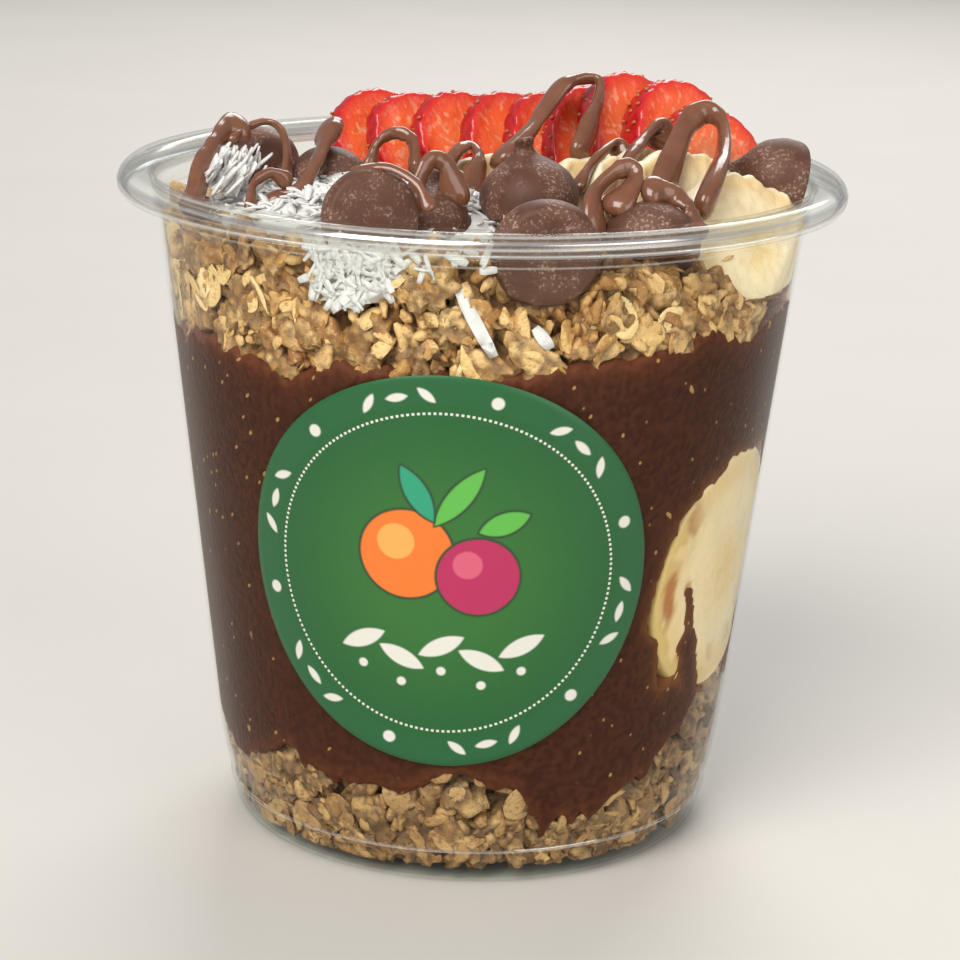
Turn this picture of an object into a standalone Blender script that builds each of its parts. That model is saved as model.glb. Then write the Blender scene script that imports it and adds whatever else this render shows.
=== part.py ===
"""A chocolate parfait in a clear takeaway cup.

Granola lies under and over a thick chocolate fruit smoothie, with a banana slice against the wall.
On top are shredded coconut, fanned strawberry and banana slices, chocolate drops and hazelnut drizzle.
Lengths are written in millimetres and scaled to metres. The origin is the middle of the cup's foot,
+Z is up, and the sticker faces -Y. An angle round the cup is 0 at the front and grows towards +X.
"""

import math
import random

import bmesh
import bpy
import numpy as np
from mathutils import Matrix, Vector, noise
from mathutils.bvhtree import BVHTree

MM = 0.001

# Driving sizes of the cup, in millimetres.
CUP_HEIGHT = 91.0
RIM_RADIUS = 49.0
WALL = 0.6
TURN_STEPS = 36
WALL_FOOT = (35.7, 14.0)  # outer radius and height where the straight wall begins
WALL_TOP = (43.9, 85.0)  # and where it ends, under the lid ledge
FLOOR_RISE = 1.7  # the raised middle of the base

# Clearances between neighbouring solids.
GAP = 0.35
LAYER_GAP = 1.0

# Height of the smoothie's lower and upper edge along the wall, at angles round the cup.
LOWER_EDGE = [
    (-165, 12), (-135, 16), (-105, 11), (-78, 13), (-60, 11), (-43, 16), (-30, 13), (-14, 13),
    (-3, 16.5), (8, 14.5), (19, 8.4), (27, 9), (40, 13), (52, 17), (60, 23), (72, 25), (88, 19),
    (112, 12), (140, 15.5), (170, 10.5),
]
UPPER_EDGE = [
    (-160, 73), (-125, 71), (-95, 73), (-73, 70.8), (-55, 71.6), (-36, 69.8), (-22, 72.2), (-8, 71.8),
    (5, 72), (22, 73.6), (36, 74.2), (48, 75.4), (58, 74), (72, 76.2), (100, 74), (135, 71.5), (165, 74.5),
]

DICE = random.Random(7)


# ---------------------------------------------------------------- small tools

def mix(a, b, share):
    return a + (b - a) * share


def smooth(share):
    share = min(1.0, max(0.0, share))
    return share * share * (3 - 2 * share)


def round_the_cup(edge, angle):
    """Height of an edge line at an angle in degrees, eased between its stations."""
    angle = (angle + 180) % 360 - 180
    stations = [(edge[-1][0] - 360, edge[-1][1])] + edge + [(edge[0][0] + 360, edge[0][1])]
    for (start, low), (end, high) in zip(stations, stations[1:]):
        if start <= angle <= end:
            return mix(low, high, smooth((angle - start) / (end - start)))
    return edge[0][1]


def cup_profile():
    """The middle of the cup's sheet as (radius, height), from the centre of the base to the curled lip."""
    half = WALL / 2
    lip = RIM_RADIUS - half
    top = CUP_HEIGHT - half
    return [
        (0, FLOOR_RISE), (26.5, FLOOR_RISE), (29.0, half), (31.3, half), (32.8, 1.9), (33.5, 5.1),
        (34.6, 8.6), (WALL_FOOT[0] - half, WALL_FOOT[1]), (WALL_TOP[0] - half, WALL_TOP[1]),
        (44.1, 85.8), (44.4, 88.2), (45.3, 90.0), (46.8, top), (lip - 0.45, top - 0.7),
        (lip, top - 1.8), (lip - 0.5, top - 2.6),
    ]


def inside_radius(height):
    """Largest radius for food at a height: the sheet's flat-sided inner face, less the clearance."""
    wall = [(r, z) for r, z in cup_profile() if 31 < r < 45]
    middle = np.interp(height, [z for _, z in wall], [r for r, _ in wall])
    return (middle - WALL / 2) * math.cos(math.pi / TURN_STEPS) - GAP


def at_angle(angle, radius, height):
    """A point in metres, at an angle in degrees round the cup."""
    turn = math.radians(angle)
    return Vector((radius * math.sin(turn), -radius * math.cos(turn), height)) * MM


def material(name, colour, roughness, alpha=1.0):
    made = bpy.data.materials.new(name)
    made.use_nodes = True
    shader = made.node_tree.nodes["Principled BSDF"]
    shader.inputs["Base Color"].default_value = (*colour, 1)
    shader.inputs["Roughness"].default_value = roughness
    shader.inputs["Alpha"].default_value = alpha
    return made


PARTS = bpy.data.collections.new("chocolate_parfait")
COLOURS = {}


def add_object(name, mesh, colour=None):
    made = bpy.data.objects.new(name, mesh)
    PARTS.objects.link(made)
    if colour:
        mesh.materials.clear()
        mesh.materials.append(COLOURS[colour])
    return made


def face_outwards(form):
    bmesh.ops.recalc_face_normals(form, faces=form.faces)
    if form.calc_volume(signed=True) < 0:
        bmesh.ops.reverse_faces(form, faces=form.faces)


def shaped_sphere(name, segments, rings, place, colour=None):
    """A UV sphere whose points are moved by place(turn, share), share running from one pole to the other."""
    form = bmesh.new()
    bmesh.ops.create_uvsphere(form, u_segments=segments, v_segments=rings, radius=1)
    for point in form.verts:
        share = math.acos(max(-1, min(1, -point.co.z))) / math.pi
        point.co = place(math.atan2(point.co.y, point.co.x), share)
    face_outwards(form)
    mesh = bpy.data.meshes.new(name)
    form.to_mesh(mesh)
    form.free()
    return add_object(name, mesh, colour)


def evaluated_mesh(obj):
    bpy.context.view_layer.update()
    graph = bpy.context.evaluated_depsgraph_get()
    return bpy.data.meshes.new_from_object(obj.evaluated_get(graph), depsgraph=graph)


def boolean(body, others, operation):
    """Joins or cuts body with all of others in one step, and removes them."""
    if not others:
        return
    group = bpy.data.collections.new(body.name + "_" + operation.lower())
    bpy.context.scene.collection.children.link(group)
    for other in others:
        for holder in list(other.users_collection):
            holder.objects.unlink(other)
        group.objects.link(other)
    step = body.modifiers.new(operation.lower(), "BOOLEAN")
    step.operation = operation
    step.operand_type = "COLLECTION"
    step.collection = group
    step.solver = "MANIFOLD"
    joined = evaluated_mesh(body)
    body.modifiers.clear()
    body.data = joined
    for other in others:
        bpy.data.objects.remove(other)
    bpy.data.collections.remove(group)


def keep_largest(body):
    """Drops loose scraps, so that the solid is one body."""
    form = bmesh.new()
    form.from_mesh(body.data)
    unseen = set(form.verts)
    islands = []
    while unseen:
        front = [unseen.pop()]
        island = list(front)
        while front:
            for edge in front.pop().link_edges:
                for point in edge.verts:
                    if point in unseen:
                        unseen.remove(point)
                        front.append(point)
                        island.append(point)
        islands.append(island)
    islands.sort(key=len, reverse=True)
    bmesh.ops.delete(form, geom=[p for island in islands[1:] for p in island], context="VERTS")
    form.to_mesh(body.data)
    form.free()


def frame_of(normal, spin=0.0):
    """A rotation whose third axis is normal and whose second is as upright as it can be, spun about it."""
    third = Vector(normal).normalized()
    up = Vector((0, 0, 1)) if abs(third.z) < 0.95 else Vector((0, 1, 0))
    second = (up - third * up.dot(third)).normalized()
    first = second.cross(third)
    axes = Matrix((first, second, third)).transposed().to_4x4()
    return axes @ Matrix.Rotation(math.radians(spin), 4, "Z")


def settle(obj, place, normal, spin=0.0):
    """Puts a piece at a place in millimetres, with its own +Z along normal."""
    obj.matrix_world = Matrix.Translation(Vector(place) * MM) @ frame_of(normal, spin)
    return obj


# ---------------------------------------------------------------- the clear cup and its sticker

def make_cup():
    mesh = bpy.data.meshes.new("cup")
    points = [(r * MM, 0, z * MM) for r, z in cup_profile()]
    mesh.from_pydata(points, [(i, i + 1) for i in range(len(points) - 1)], [])
    cup = add_object("cup", mesh, "clear_plastic")
    turn = cup.modifiers.new("turn", "SCREW")
    turn.steps = turn.render_steps = TURN_STEPS
    turn.use_merge_vertices = True
    turn.merge_threshold = 0.0001 * MM
    turn.use_normal_calculate = True
    sheet = cup.modifiers.new("sheet", "SOLIDIFY")
    sheet.thickness = WALL * MM
    sheet.offset = 0
    sheet.use_even_offset = True
    return cup


STICKER_RADIUS = 27.0
STICKER_CENTRE = (-5.5, 45.2)  # angle and height
STICKER_THICK = 0.25
STICKER_LIFT = 0.55


def on_wall(across, up, lift):
    """A point of a flat sheet wrapped on the cup's cone: across and up from the sticker's centre, in mm."""
    slope = (WALL_TOP[0] - WALL_FOOT[0]) / (WALL_TOP[1] - WALL_FOOT[1])
    lean = math.atan(slope)
    centre_radius = WALL_FOOT[0] + slope * (STICKER_CENTRE[1] - WALL_FOOT[1])
    from_apex = centre_radius / math.sin(lean)
    reach = math.hypot(across, from_apex + up)
    turn = math.degrees(math.atan2(across, from_apex + up) / math.sin(lean))
    radius = reach * math.sin(lean)
    height = WALL_FOOT[1] + (radius - WALL_FOOT[0]) / slope
    return at_angle(STICKER_CENTRE[0] + turn, radius + lift, height)


def make_sticker():
    """A round paper sticker bent to the wall: the sphere's poles become the centres of its two faces."""
    reaches = [0, 0.35, 0.7, 1, 1, 0.7, 0.35, 0]

    def place(turn, share):
        ring = round(share * (len(reaches) - 1))
        radius = reaches[ring] * STICKER_RADIUS
        lift = STICKER_LIFT + (0 if ring < len(reaches) / 2 else STICKER_THICK)
        return on_wall(radius * math.cos(turn), radius * math.sin(turn), lift)

    return shaped_sphere("sticker", 22, len(reaches) - 1, place, "sticker_green")


# ---------------------------------------------------------------- layers of food

def layer(name, low, high, inset, colour, segments=40, wall_rows=4):
    """A layer filling the cup from low(angle, share) to high(angle, share), share being 0 in the middle."""
    spread = [0.0, 0.55, 0.88, 1.0]
    rows = [(s, 0.0) for s in spread] + [(1.0, k / wall_rows) for k in range(1, wall_rows)]
    rows += [(s, 1.0) for s in reversed(spread)]

    def place(turn, share):
        reach, climb = rows[round(share * (len(rows) - 1))]
        angle = math.degrees(turn) + 90
        height = mix(low(angle, reach), high(angle, reach), climb)
        edge = inside_radius(height) - inset(angle, height)
        true_share = reach * edge / inside_radius(height)
        height = mix(low(angle, true_share), high(angle, true_share), climb)
        return at_angle(angle, edge * reach, height)

    return shaped_sphere(name, segments, len(rows) - 1, place, colour)


def lower_edge(angle, share):
    return mix(15.0, round_the_cup(LOWER_EDGE, angle), share**3)


def upper_edge(angle, share):
    return mix(72.5, round_the_cup(UPPER_EDGE, angle), share**3)


def crumb(size, seed, subdivisions):
    """One lump of baked oats: an icosphere pushed in and out by noise."""
    form = bmesh.new()
    bmesh.ops.create_icosphere(form, subdivisions=subdivisions, radius=1)
    for point in form.verts:
        away = point.co.normalized()
        bump = noise.noise(away * 1.7 + Vector((seed * 3.1, seed, 0)))
        point.co = Vector([a * s for a, s in zip(away * (1 + 0.45 * bump), size)]) * MM
    mesh = bpy.data.meshes.new("crumb")
    form.to_mesh(mesh)
    form.free()
    return add_object("crumb", mesh)


def press_in(obj, low, high):
    """Applies a piece's place and keeps its points inside the wall and between two heights in mm."""
    obj.data.transform(obj.matrix_world)
    obj.matrix_world = Matrix.Identity(4)
    for point in obj.data.vertices:
        x, y, z = point.co / MM
        angle = math.degrees(math.atan2(x, -y))
        z = min(max(z, low(angle)), high(angle))
        reach = math.hypot(x, y)
        scale = min(1.0, inside_radius(z) / reach) if reach else 1.0
        point.co = Vector((x * scale, y * scale, z)) * MM


def crumbs_on_wall(count, height_at, low, high, sizes):
    """Lumps and flakes spread evenly round the wall, each fifth one a large lump, turned at random."""
    made = []
    for k in range(count):
        angle = 360 * k / count + DICE.uniform(-3, 3)
        height = height_at(angle, k)
        flake = k % 5 in (1, 3)
        size = DICE.uniform(*sizes) * (1.25 if k % 5 == 0 else 1)
        form = (size * 0.62, size * 0.5, size * (0.17 if flake else 0.52))
        piece = crumb(form, k, 2 if k % 5 == 0 else 1)
        normal = at_angle(angle + DICE.uniform(-35, 35), 1, DICE.uniform(-0.5, 0.9)) / MM
        depth = size * 0.5 - (1.6 if flake else 0)
        spot = at_angle(angle, inside_radius(height) - depth, height) / MM
        settle(piece, spot, normal, DICE.uniform(0, 180))
        press_in(piece, low, high)
        made.append(piece)
    return made


def make_bottom_granola():
    floor = FLOOR_RISE + WALL / 2 + GAP

    def inset(angle, height):
        return 1.7 + 0.9 * noise.noise(Vector((angle / 9, height / 4, 0)))

    def top(angle, share):
        return lower_edge(angle, share) - LAYER_GAP

    def ceiling(angle):
        return min(round_the_cup(LOWER_EDGE, angle + turn) for turn in (-8, -4, 0, 4, 8)) - 1.0

    def row(angle, k):
        return mix(4.5, ceiling(angle) - 2.5, (0.05, 0.95, 0.5)[k % 3])

    heap = layer("granola_bottom", lambda angle, share: floor, top, inset, "granola", 40, 2)
    boolean(heap, crumbs_on_wall(20, row, lambda angle: floor, ceiling, (6.0, 8.5)), "UNION")
    keep_largest(heap)
    return heap


def make_smoothie():
    return layer("smoothie", lower_edge, upper_edge, lambda angle, height: 0.0, "smoothie")


SIDE_SLICES = [(64.0, 40.5, 16.6), (-158.0, 44.0, 15.0)]  # angle, height and radius of each
SIDE_SLICE_THICK = 6.5


def side_slice(name, angle, height, radius):
    """A banana slice pressed against the wall, so that it takes the wall's curve."""
    reaches = [(0, 1), (0.6, 1), (0.94, 0.92), (1, 0.5), (0.94, 0.08), (0.62, 0), (0, 0)]

    def place(turn, share):
        reach, depth = reaches[round(share * (len(reaches) - 1))]
        out = radius * reach * (1 + 0.025 * math.cos(3 * turn + 0.6))
        z = height + out * math.sin(turn)
        edge = inside_radius(z)
        across = math.degrees(out * math.cos(turn) / edge)
        return at_angle(angle + across, edge - depth * SIDE_SLICE_THICK, z)

    return shaped_sphere(name, 20, len(reaches) - 1, place, "banana")


def cutter_of(obj, grow=GAP):
    """A copy of a piece, grown along its normals, that clears room for it in a heap."""
    form = bmesh.new()
    form.from_mesh(obj.data)
    form.transform(obj.matrix_world)
    form.normal_update()
    moves = [point.normal * point.calc_shell_factor() * grow * MM for point in form.verts]
    for point, move in zip(form.verts, moves):
        point.co += move
    mesh = bpy.data.meshes.new(obj.name + "_room")
    form.to_mesh(mesh)
    form.free()
    return add_object(mesh.name, mesh)


def hull_cutter(pieces):
    """One convex cutter round a fan of slices."""
    form = bmesh.new()
    for piece in pieces:
        grown = cutter_of(piece, 0.5)
        form.from_mesh(grown.data)
        bpy.data.objects.remove(grown)
    hull = bmesh.ops.convex_hull(form, input=form.verts)
    unused = hull["geom_interior"] + hull["geom_unused"]
    spare = {item for item in unused if isinstance(item, bmesh.types.BMVert)}
    bmesh.ops.delete(form, geom=list(spare), context="VERTS")
    faces = {item for item in hull["geom"] if isinstance(item, bmesh.types.BMFace)}
    bmesh.ops.delete(form, geom=[face for face in form.faces if face not in faces], context="FACES")
    bmesh.ops.dissolve_limit(form, angle_limit=math.radians(2), verts=form.verts, edges=form.edges)
    bmesh.ops.triangulate(form, faces=form.faces)
    face_outwards(form)
    mesh = bpy.data.meshes.new("fan_room")
    form.to_mesh(mesh)
    form.free()
    return add_object("fan_room", mesh)


def make_room(pieces, neighbours, extra=()):
    """Cuts room for those neighbours that a piece would touch."""
    for piece in pieces:
        tree = bvh_of(piece)
        cutters = [cutter_of(other) for other in neighbours]
        touching = []
        for cutter in cutters:
            if tree.overlap(bvh_of(cutter)):
                touching.append(cutter)
            else:
                bpy.data.objects.remove(cutter)
        boolean(piece, touching + list(extra), "DIFFERENCE")
        keep_largest(piece)


# ---------------------------------------------------------------- the top: granola, coconut and fruit

def top_height(angle, share):
    """Top of the upper granola: high along the front and left wall, low where fruit stands in it."""
    angle = (angle + 180) % 360 - 180
    fruit = smooth((angle - 12) / 30) * smooth((150 - angle) / 30)
    side = smooth((-angle - 50) / 20)
    back = smooth((angle - 100) / 50)
    edge = 86.0 - 4.5 * fruit - 2.4 * side - 1.5 * back + 0.9 * math.sin(math.radians(angle * 7))
    return mix(84.0, edge, share**2)


def make_top_granola():
    def inset(angle, height):
        return 1.9 + 1.1 * noise.noise(Vector((angle / 8, height / 4, 5)))

    def low_face(angle, share):
        return upper_edge(angle, share) + LAYER_GAP

    def floor(angle):
        return max(round_the_cup(UPPER_EDGE, angle + turn) for turn in (-8, -4, 0, 4, 8)) + 1.0

    def row(angle, k):
        return mix(floor(angle) + 2.5, top_height(angle, 1) - 0.6, (0.0, 1.0, 0.45)[k % 3])

    heap = layer("granola_top", low_face, top_height, inset, "granola", 40, 2)
    lumps = crumbs_on_wall(30, row, floor, lambda angle: top_height(angle, 1) + 1.2, (6.5, 9.5))
    boolean(heap, lumps, "UNION")
    keep_largest(heap)
    return heap


def coconut_mound(name, grow=0.0):
    """The smooth core of the coconut: a low mound over the left half that reaches the wall at the front."""
    ups = (0, 0, 0.1, 0.45, 0.75, 0.93, 1, 1)
    outs = (0, 0.55, 0.9, 1, 0.86, 0.6, 0.32, 0)

    def place(turn, share):
        step = round(share * 7)
        x = -17 + (21.0 + grow) * outs[step] * math.cos(turn)
        y = -14 + ((29.0 if math.sin(turn) < 0 else 21.0) + grow) * outs[step] * math.sin(turn)
        low = mix(82.5, 79.5, smooth((-22 - y) / 16)) - grow
        lump = 0.7 * noise.noise(Vector((x / 5, y / 5, 2)))
        z = mix(low, 89.6 + grow + 0.9 * math.cos(turn * 3) - 2.6 * smooth((-24 - y) / 16), ups[step]) + lump
        wall = inside_radius(z) - (0.0 if -35 < math.degrees(math.atan2(x, -y)) < 5 else 4.0) + grow
        scale = min(1.0, wall / max(1.0, math.hypot(x, y)))
        return Vector((x * scale, y * scale, z)) * MM

    return shaped_sphere(name, 18, 7, place, "coconut")


def make_coconut():
    """The mound with strips of coconut fused on."""
    heap = coconut_mound("coconut")
    tree = bvh_of(heap)
    strips = []
    count = 10
    for k in range(count):
        turn = math.radians(k * 137.5)
        reach = 0.74 * math.sqrt((k + 1) / count)
        x = -17 + 20 * reach * math.cos(turn)
        y = -15 + 23 * reach * math.sin(turn)
        spot, normal, _, _ = tree.ray_cast(Vector((x, y, 120)) * MM, Vector((0, 0, -1)))
        if spot is None:
            continue
        form = bmesh.new()
        bmesh.ops.create_cube(form, size=1)
        length = DICE.uniform(6, 10)
        for point in form.verts:
            point.co = Vector((point.co.x * length, point.co.y * 1.8, point.co.z * 0.9)) * MM
        mesh = bpy.data.meshes.new("strip")
        form.to_mesh(mesh)
        form.free()
        lean = normal + Vector((DICE.uniform(-0.3, 0.3), DICE.uniform(-0.3, 0.3), 0))
        place = (spot + normal * 0.3 * MM) / MM
        strip = settle(add_object("strip", mesh), place, lean, DICE.uniform(0, 180))
        press_in(strip, lambda angle: 80, lambda angle: 95)
        strips.append(strip)
    boolean(heap, strips, "UNION")
    keep_largest(heap)
    return heap


DROP_STEPS = 12

# Half of a chocolate drop of unit foot radius and unit height: flat foot, round shoulder, drawn-out tip.
DROP_PROFILE = [
    (0, 1.0), (0.17, 0.97), (0.18, 0.86), (0.4, 0.68), (0.72, 0.47), (0.97, 0.2), (0.93, 0.02), (0, 0),
]

# Each drop: its foot's radius and height, where its foot's middle is, and which way its tip points.
DROPS = {
    "drop_front_wall": (6.8, 9.6, (8.3, -41.4, 86.7), (-0.16, 0.97, 0.2)),
    "drop_front_left": (6.2, 9.6, (-13.2, -35.4, 90.1), (-0.34, 0.92, -0.14)),
    "drop_left_mid": (5.8, 9.2, (-7.2, -24.4, 85.6), (0.1, 0.2, 0.97)),
    "drop_kiss": (6.4, 10.4, (6.4, -18.6, 87.9), (-0.16, 0.1, 0.98)),
    "drop_front_right": (6.2, 9.6, (21.2, -31.6, 85.3), (0.1, 0.5, 0.85)),
    "drop_right_rim": (5.7, 10.6, (42.8, -3.2, 90.3), (-0.97, -0.06, 0.22)),
    "drop_back_left": (5.1, 9.2, (-30.0, 4.8, 90.2), (-0.1, -0.97, -0.1)),
    "drop_left_inner": (5.5, 9.2, (-20.8, -4.0, 88.4), (0.1, -0.96, 0.1)),
}


def make_drop(name, radius, height, foot, tip):
    """The profile turned about the drop's own axis."""
    mesh = bpy.data.meshes.new(name)
    points = [(r * radius * MM, 0, z * height * MM) for r, z in DROP_PROFILE]
    mesh.from_pydata(points, [(i, i + 1) for i in range(len(points) - 1)], [])
    drop = settle(add_object(name, mesh, "chocolate"), foot, tip)
    turn = drop.modifiers.new("turn", "SCREW")
    turn.steps = turn.render_steps = DROP_STEPS
    turn.use_merge_vertices = True
    turn.merge_threshold = 0.0001 * MM
    made = evaluated_mesh(drop)
    drop.modifiers.clear()
    drop.data = made
    return drop


def turned_lean(lean, extra):
    return Matrix.Rotation(math.radians(extra), 3, "Z") @ Vector(lean).normalized()


BERRY_LEAN = (0.52, -0.74, 0.42)  # which way the cut faces of the fanned strawberries look
BERRY_THICK = 3.4

# Fanned strawberry slices, left to right: centre, width, length, and how far they slant to the right.
BERRIES = [
    ((-14.6, 23.4, 88.2), 15.5, 19.0, 10),
    ((-9.2, 21.4, 88.6), 15.5, 18.5, 14),
    ((-2.6, 19.4, 88.8), 16.5, 19.0, 20),
    ((4.0, 17.4, 89.0), 16.0, 19.5, 26),
    ((9.6, 14.8, 89.6), 15.5, 19.5, 30),
    ((15.2, 12.6, 90.4), 16.0, 20.0, 32),
    ((21.0, 10.6, 92.6), 17.0, 20.5, 34),
    ((27.0, 8.4, 92.0), 17.0, 20.5, 36),
    ((30.6, 3.8, 90.2), 15.5, 19.0, 38),
]


def berry_slice(name, centre, width, length, slant):
    """A lengthwise strawberry slice: wide near the top, with a bulging skin edge."""
    rows = [(0, 0), (0.86, 0), (1, 0.3), (1, 0.7), (0.86, 1), (0, 1)]

    def place(turn, share):
        reach, depth = rows[round(share * (len(rows) - 1))]
        x = width / 2 * reach * math.cos(turn) * (1 + 0.32 * math.sin(turn))
        y = length / 2 * reach * math.sin(turn)
        return Vector((x, y, (depth - 0.5) * BERRY_THICK)) * MM

    return settle(shaped_sphere(name, 14, len(rows) - 1, place, "strawberry"), centre, BERRY_LEAN, -slant)


BANANA_LEAN = (0.5, -0.7, 0.5)  # which way the cut faces of the fanned banana look
BANANA_THICK = 4.5
BANANA_BED = 78.4  # the slices are squashed flat where they stand

# Fanned banana slices, left to right: centre, radius, and the turn of the face away from the fan's own.
BANANAS = [
    ((2.6, 0.2, 81.3), 11.6, -3),
    ((17.0, -4.6, 82.4), 11.6, 0),
    ((22.8, -7.8, 83.8), 11.6, 0),
    ((27.8, -11.2, 84.8), 11.4, 0),
    ((34.6, -15.4, 83.8), 12.0, 3),
]


def banana_slice(name, centre, radius, extra):
    """A round banana slice with three faint lobes and softly rounded edges."""
    rows = [(0, 0), (0.9, 0), (1, 0.2), (1, 0.8), (0.9, 1), (0, 1)]

    def place(turn, share):
        reach, depth = rows[round(share * (len(rows) - 1))]
        out = radius * reach * (1 + 0.03 * math.cos(3 * turn))
        return Vector((out * math.cos(turn), out * math.sin(turn), (depth - 0.5) * BANANA_THICK)) * MM

    piece = shaped_sphere(name, 18, len(rows) - 1, place, "banana")
    settle(piece, centre, turned_lean(BANANA_LEAN, extra), 40 * extra)
    press_in(piece, lambda angle: BANANA_BED, lambda angle: 99)
    return piece


# ---------------------------------------------------------------- hazelnut drizzle

def curve_through(points, per_span):
    """A smooth row of points through hand-set ones, each (x, y, z)."""
    rows = [Vector(p) for p in points]
    rows = [rows[0] * 2 - rows[1]] + rows + [rows[-1] * 2 - rows[-2]]
    made = []
    for a, b, c, d in zip(rows, rows[1:], rows[2:], rows[3:]):
        for k in range(per_span):
            t = k / per_span
            bend = (2 * a - 5 * b + 4 * c - d) * t * t + (3 * b - a - 3 * c + d) * t**3
            made.append(0.5 * (2 * b + (c - a) * t + bend))
    return made + [rows[-2]]


def bvh_of(obj):
    form = bmesh.new()
    form.from_mesh(evaluated_mesh(obj))
    form.transform(obj.matrix_world)
    tree = BVHTree.FromBMesh(form)
    form.free()
    return tree


def is_inside(tree, point):
    """Whether a point lies in a closed solid: a ray from it crosses the surface an odd number of times."""
    way = Vector((0.31, 0.17, 0.93)).normalized()
    crossings = 0
    spot = point
    while spot is not None and crossings < 40:
        spot = tree.ray_cast(spot + way * 1e-6, way)[0]
        crossings += spot is not None
    return crossings % 2 == 1


def push_clear(route, radius, trees):
    """Moves the points of a strand's route until it clears the surfaces it isn't fused to."""
    clear = (radius + GAP + 0.15) * MM
    for _ in range(6):
        for k, point in enumerate(route):
            for tree in trees:
                spot, normal, _, distance = tree.find_nearest(point)
                inside = distance < 12 * MM and is_inside(tree, point)
                if inside or distance < clear:
                    away = normal if inside else (point - spot).normalized()
                    route[k] = point = spot + away * clear


def strand(name, radius, roots, points, host, others):
    """A tube of drizzle through points in mm. An end named in roots is carried into the host."""
    route = [point * MM for point in curve_through(points, 2)]
    push_clear(route, radius, others)
    for end in roots:
        tip = route[0] if end == "a" else route[-1]
        spot, normal, _, _ = host.find_nearest(tip)
        if not is_inside(host, tip):
            inner = spot - normal * 1.2 * MM
            route = [inner] + route if end == "a" else route + [inner]
    curve = bpy.data.curves.new(name, "CURVE")
    curve.dimensions = "3D"
    curve.bevel_depth = radius * MM
    curve.bevel_resolution = 1
    curve.use_fill_caps = True
    line = curve.splines.new("POLY")
    line.points.add(len(route) - 1)
    for spot, point in zip(line.points, route):
        spot.co = (*point, 1)
    rope = bpy.data.objects.new(name, curve)
    PARTS.objects.link(rope)
    mesh = evaluated_mesh(rope)
    bpy.data.objects.remove(rope)
    form = bmesh.new()
    form.from_mesh(mesh)
    bmesh.ops.remove_doubles(form, verts=form.verts, dist=0.01 * MM)
    face_outwards(form)
    form.to_mesh(mesh)
    form.free()
    return add_object(name, mesh)


# Strands by the node they are fused to: radius, the ends that run into it, and the points they pass.
DRIZZLE = {
    "coconut": [
        (1.6, "a", [
            (-37, -20, 89.5), (-36.5, -16, 92.5), (-35.5, -12, 94.5), (-34.5, -8, 96), (-33, -6, 96.3),
        ]),
        (0.9, "b", [
            (-33.5, -8, 95), (-31.5, -5, 96.3), (-29, -4, 97),
            (-27, -5, 96), (-26, -8, 93), (-26, -10.5, 91),
        ]),
        (1.5, "b", [
            (-20.5, -6, 96.3), (-21, -9.5, 95), (-22.5, -14.5, 92), (-24, -17, 90), (-27, -19, 89.5),
        ]),
        (0.8, "ab", [
            (-29.5, -22, 89.5), (-29.5, -20, 91.2), (-27.5, -18.5, 92.5), (-25.5, -17.5, 91.5),
        ]),
        (1.0, "ab", [(-15, 6, 90), (-15, 7.5, 92.5), (-12.5, 8, 93.5), (-9.5, 7, 93), (-9, 4.5, 90.5)]),
    ],
    "drop_front_left": [
        (0.6, "ab", [
            (-15.5, -33.5, 95.5), (-13.5, -33, 96.2), (-11, -33.5, 96), (-8, -35, 94.5), (-6.5, -36.5, 92),
        ]),
    ],
    "drop_left_mid": [
        (1.3, "ab", [
            (-8.5, -28.5, 90.5), (-8, -27.5, 93.5), (-6.5, -26, 96), (-4.5, -25, 95), (-3.5, -25, 92),
        ]),
    ],
    "banana_slice_1": [
        (1.3, "b", [
            (-3.4, -5.5, 89.6), (-4.5, -3.5, 91), (-3.5, -1, 93.2), (-1.5, 0, 93.8), (-0.5, -2, 92),
            (-1.5, -6, 89.5),
        ]),
        (1.4, "a", [
            (2.5, -2, 93.5), (6, 2, 95.5), (8, 5, 98), (10.5, 8, 101), (13, 9, 102), (15.5, 9, 101.8),
            (15.5, 6.5, 99.5), (14.5, 3, 97), (13, 0, 94.5),
        ]),
    ],
    "banana_slice_2": [
        (1.1, "a", [(12.5, -12, 91.2), (15, -8, 93.8), (17.5, -5, 95.5), (18.5, -4.6, 95)]),
    ],
    "banana_slice_3": [
        (1.5, "a", [(15.5, -15.5, 90), (18.5, -11.5, 93), (20.5, -7, 95.5), (23, -3, 97.5), (23.5, -2, 96)]),
    ],
    "banana_slice_4": [
        (1.5, "a", [
            (23, -16, 90.5), (25, -11, 95), (27, -6, 98.5), (29.5, -4, 99.8), (31.5, -5.5, 98.8),
            (31.5, -11, 96), (30, -18, 93.5), (28.5, -22, 91),
        ]),
    ],
    "drop_front_right": [
        (1.4, "ab", [
            (14, -33, 90), (14, -31, 93), (16.5, -29, 95.5), (18.5, -28, 96), (19, -29, 94.5),
            (17, -31.5, 92.5),
        ]),
        (1.4, "ab", [(21.5, -30, 93.5), (24, -29.5, 93), (26, -30, 91.5), (26.5, -31, 89.5)]),
    ],
}


def add_drizzle(nodes):
    trees = {name: bvh_of(obj) for name, obj in nodes.items()}
    for host, strands in DRIZZLE.items():
        near = [tree for name, tree in trees.items() if name != host]
        ropes = [strand(f"{host}_drizzle_{k}", *where, trees[host], near) for k, where in enumerate(strands)]
        body = nodes[host]
        body.data = body.data.copy()
        boolean(body, ropes, "UNION")
        keep_largest(body)
        trees[host] = bvh_of(body)


# ---------------------------------------------------------------- putting it together

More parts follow.
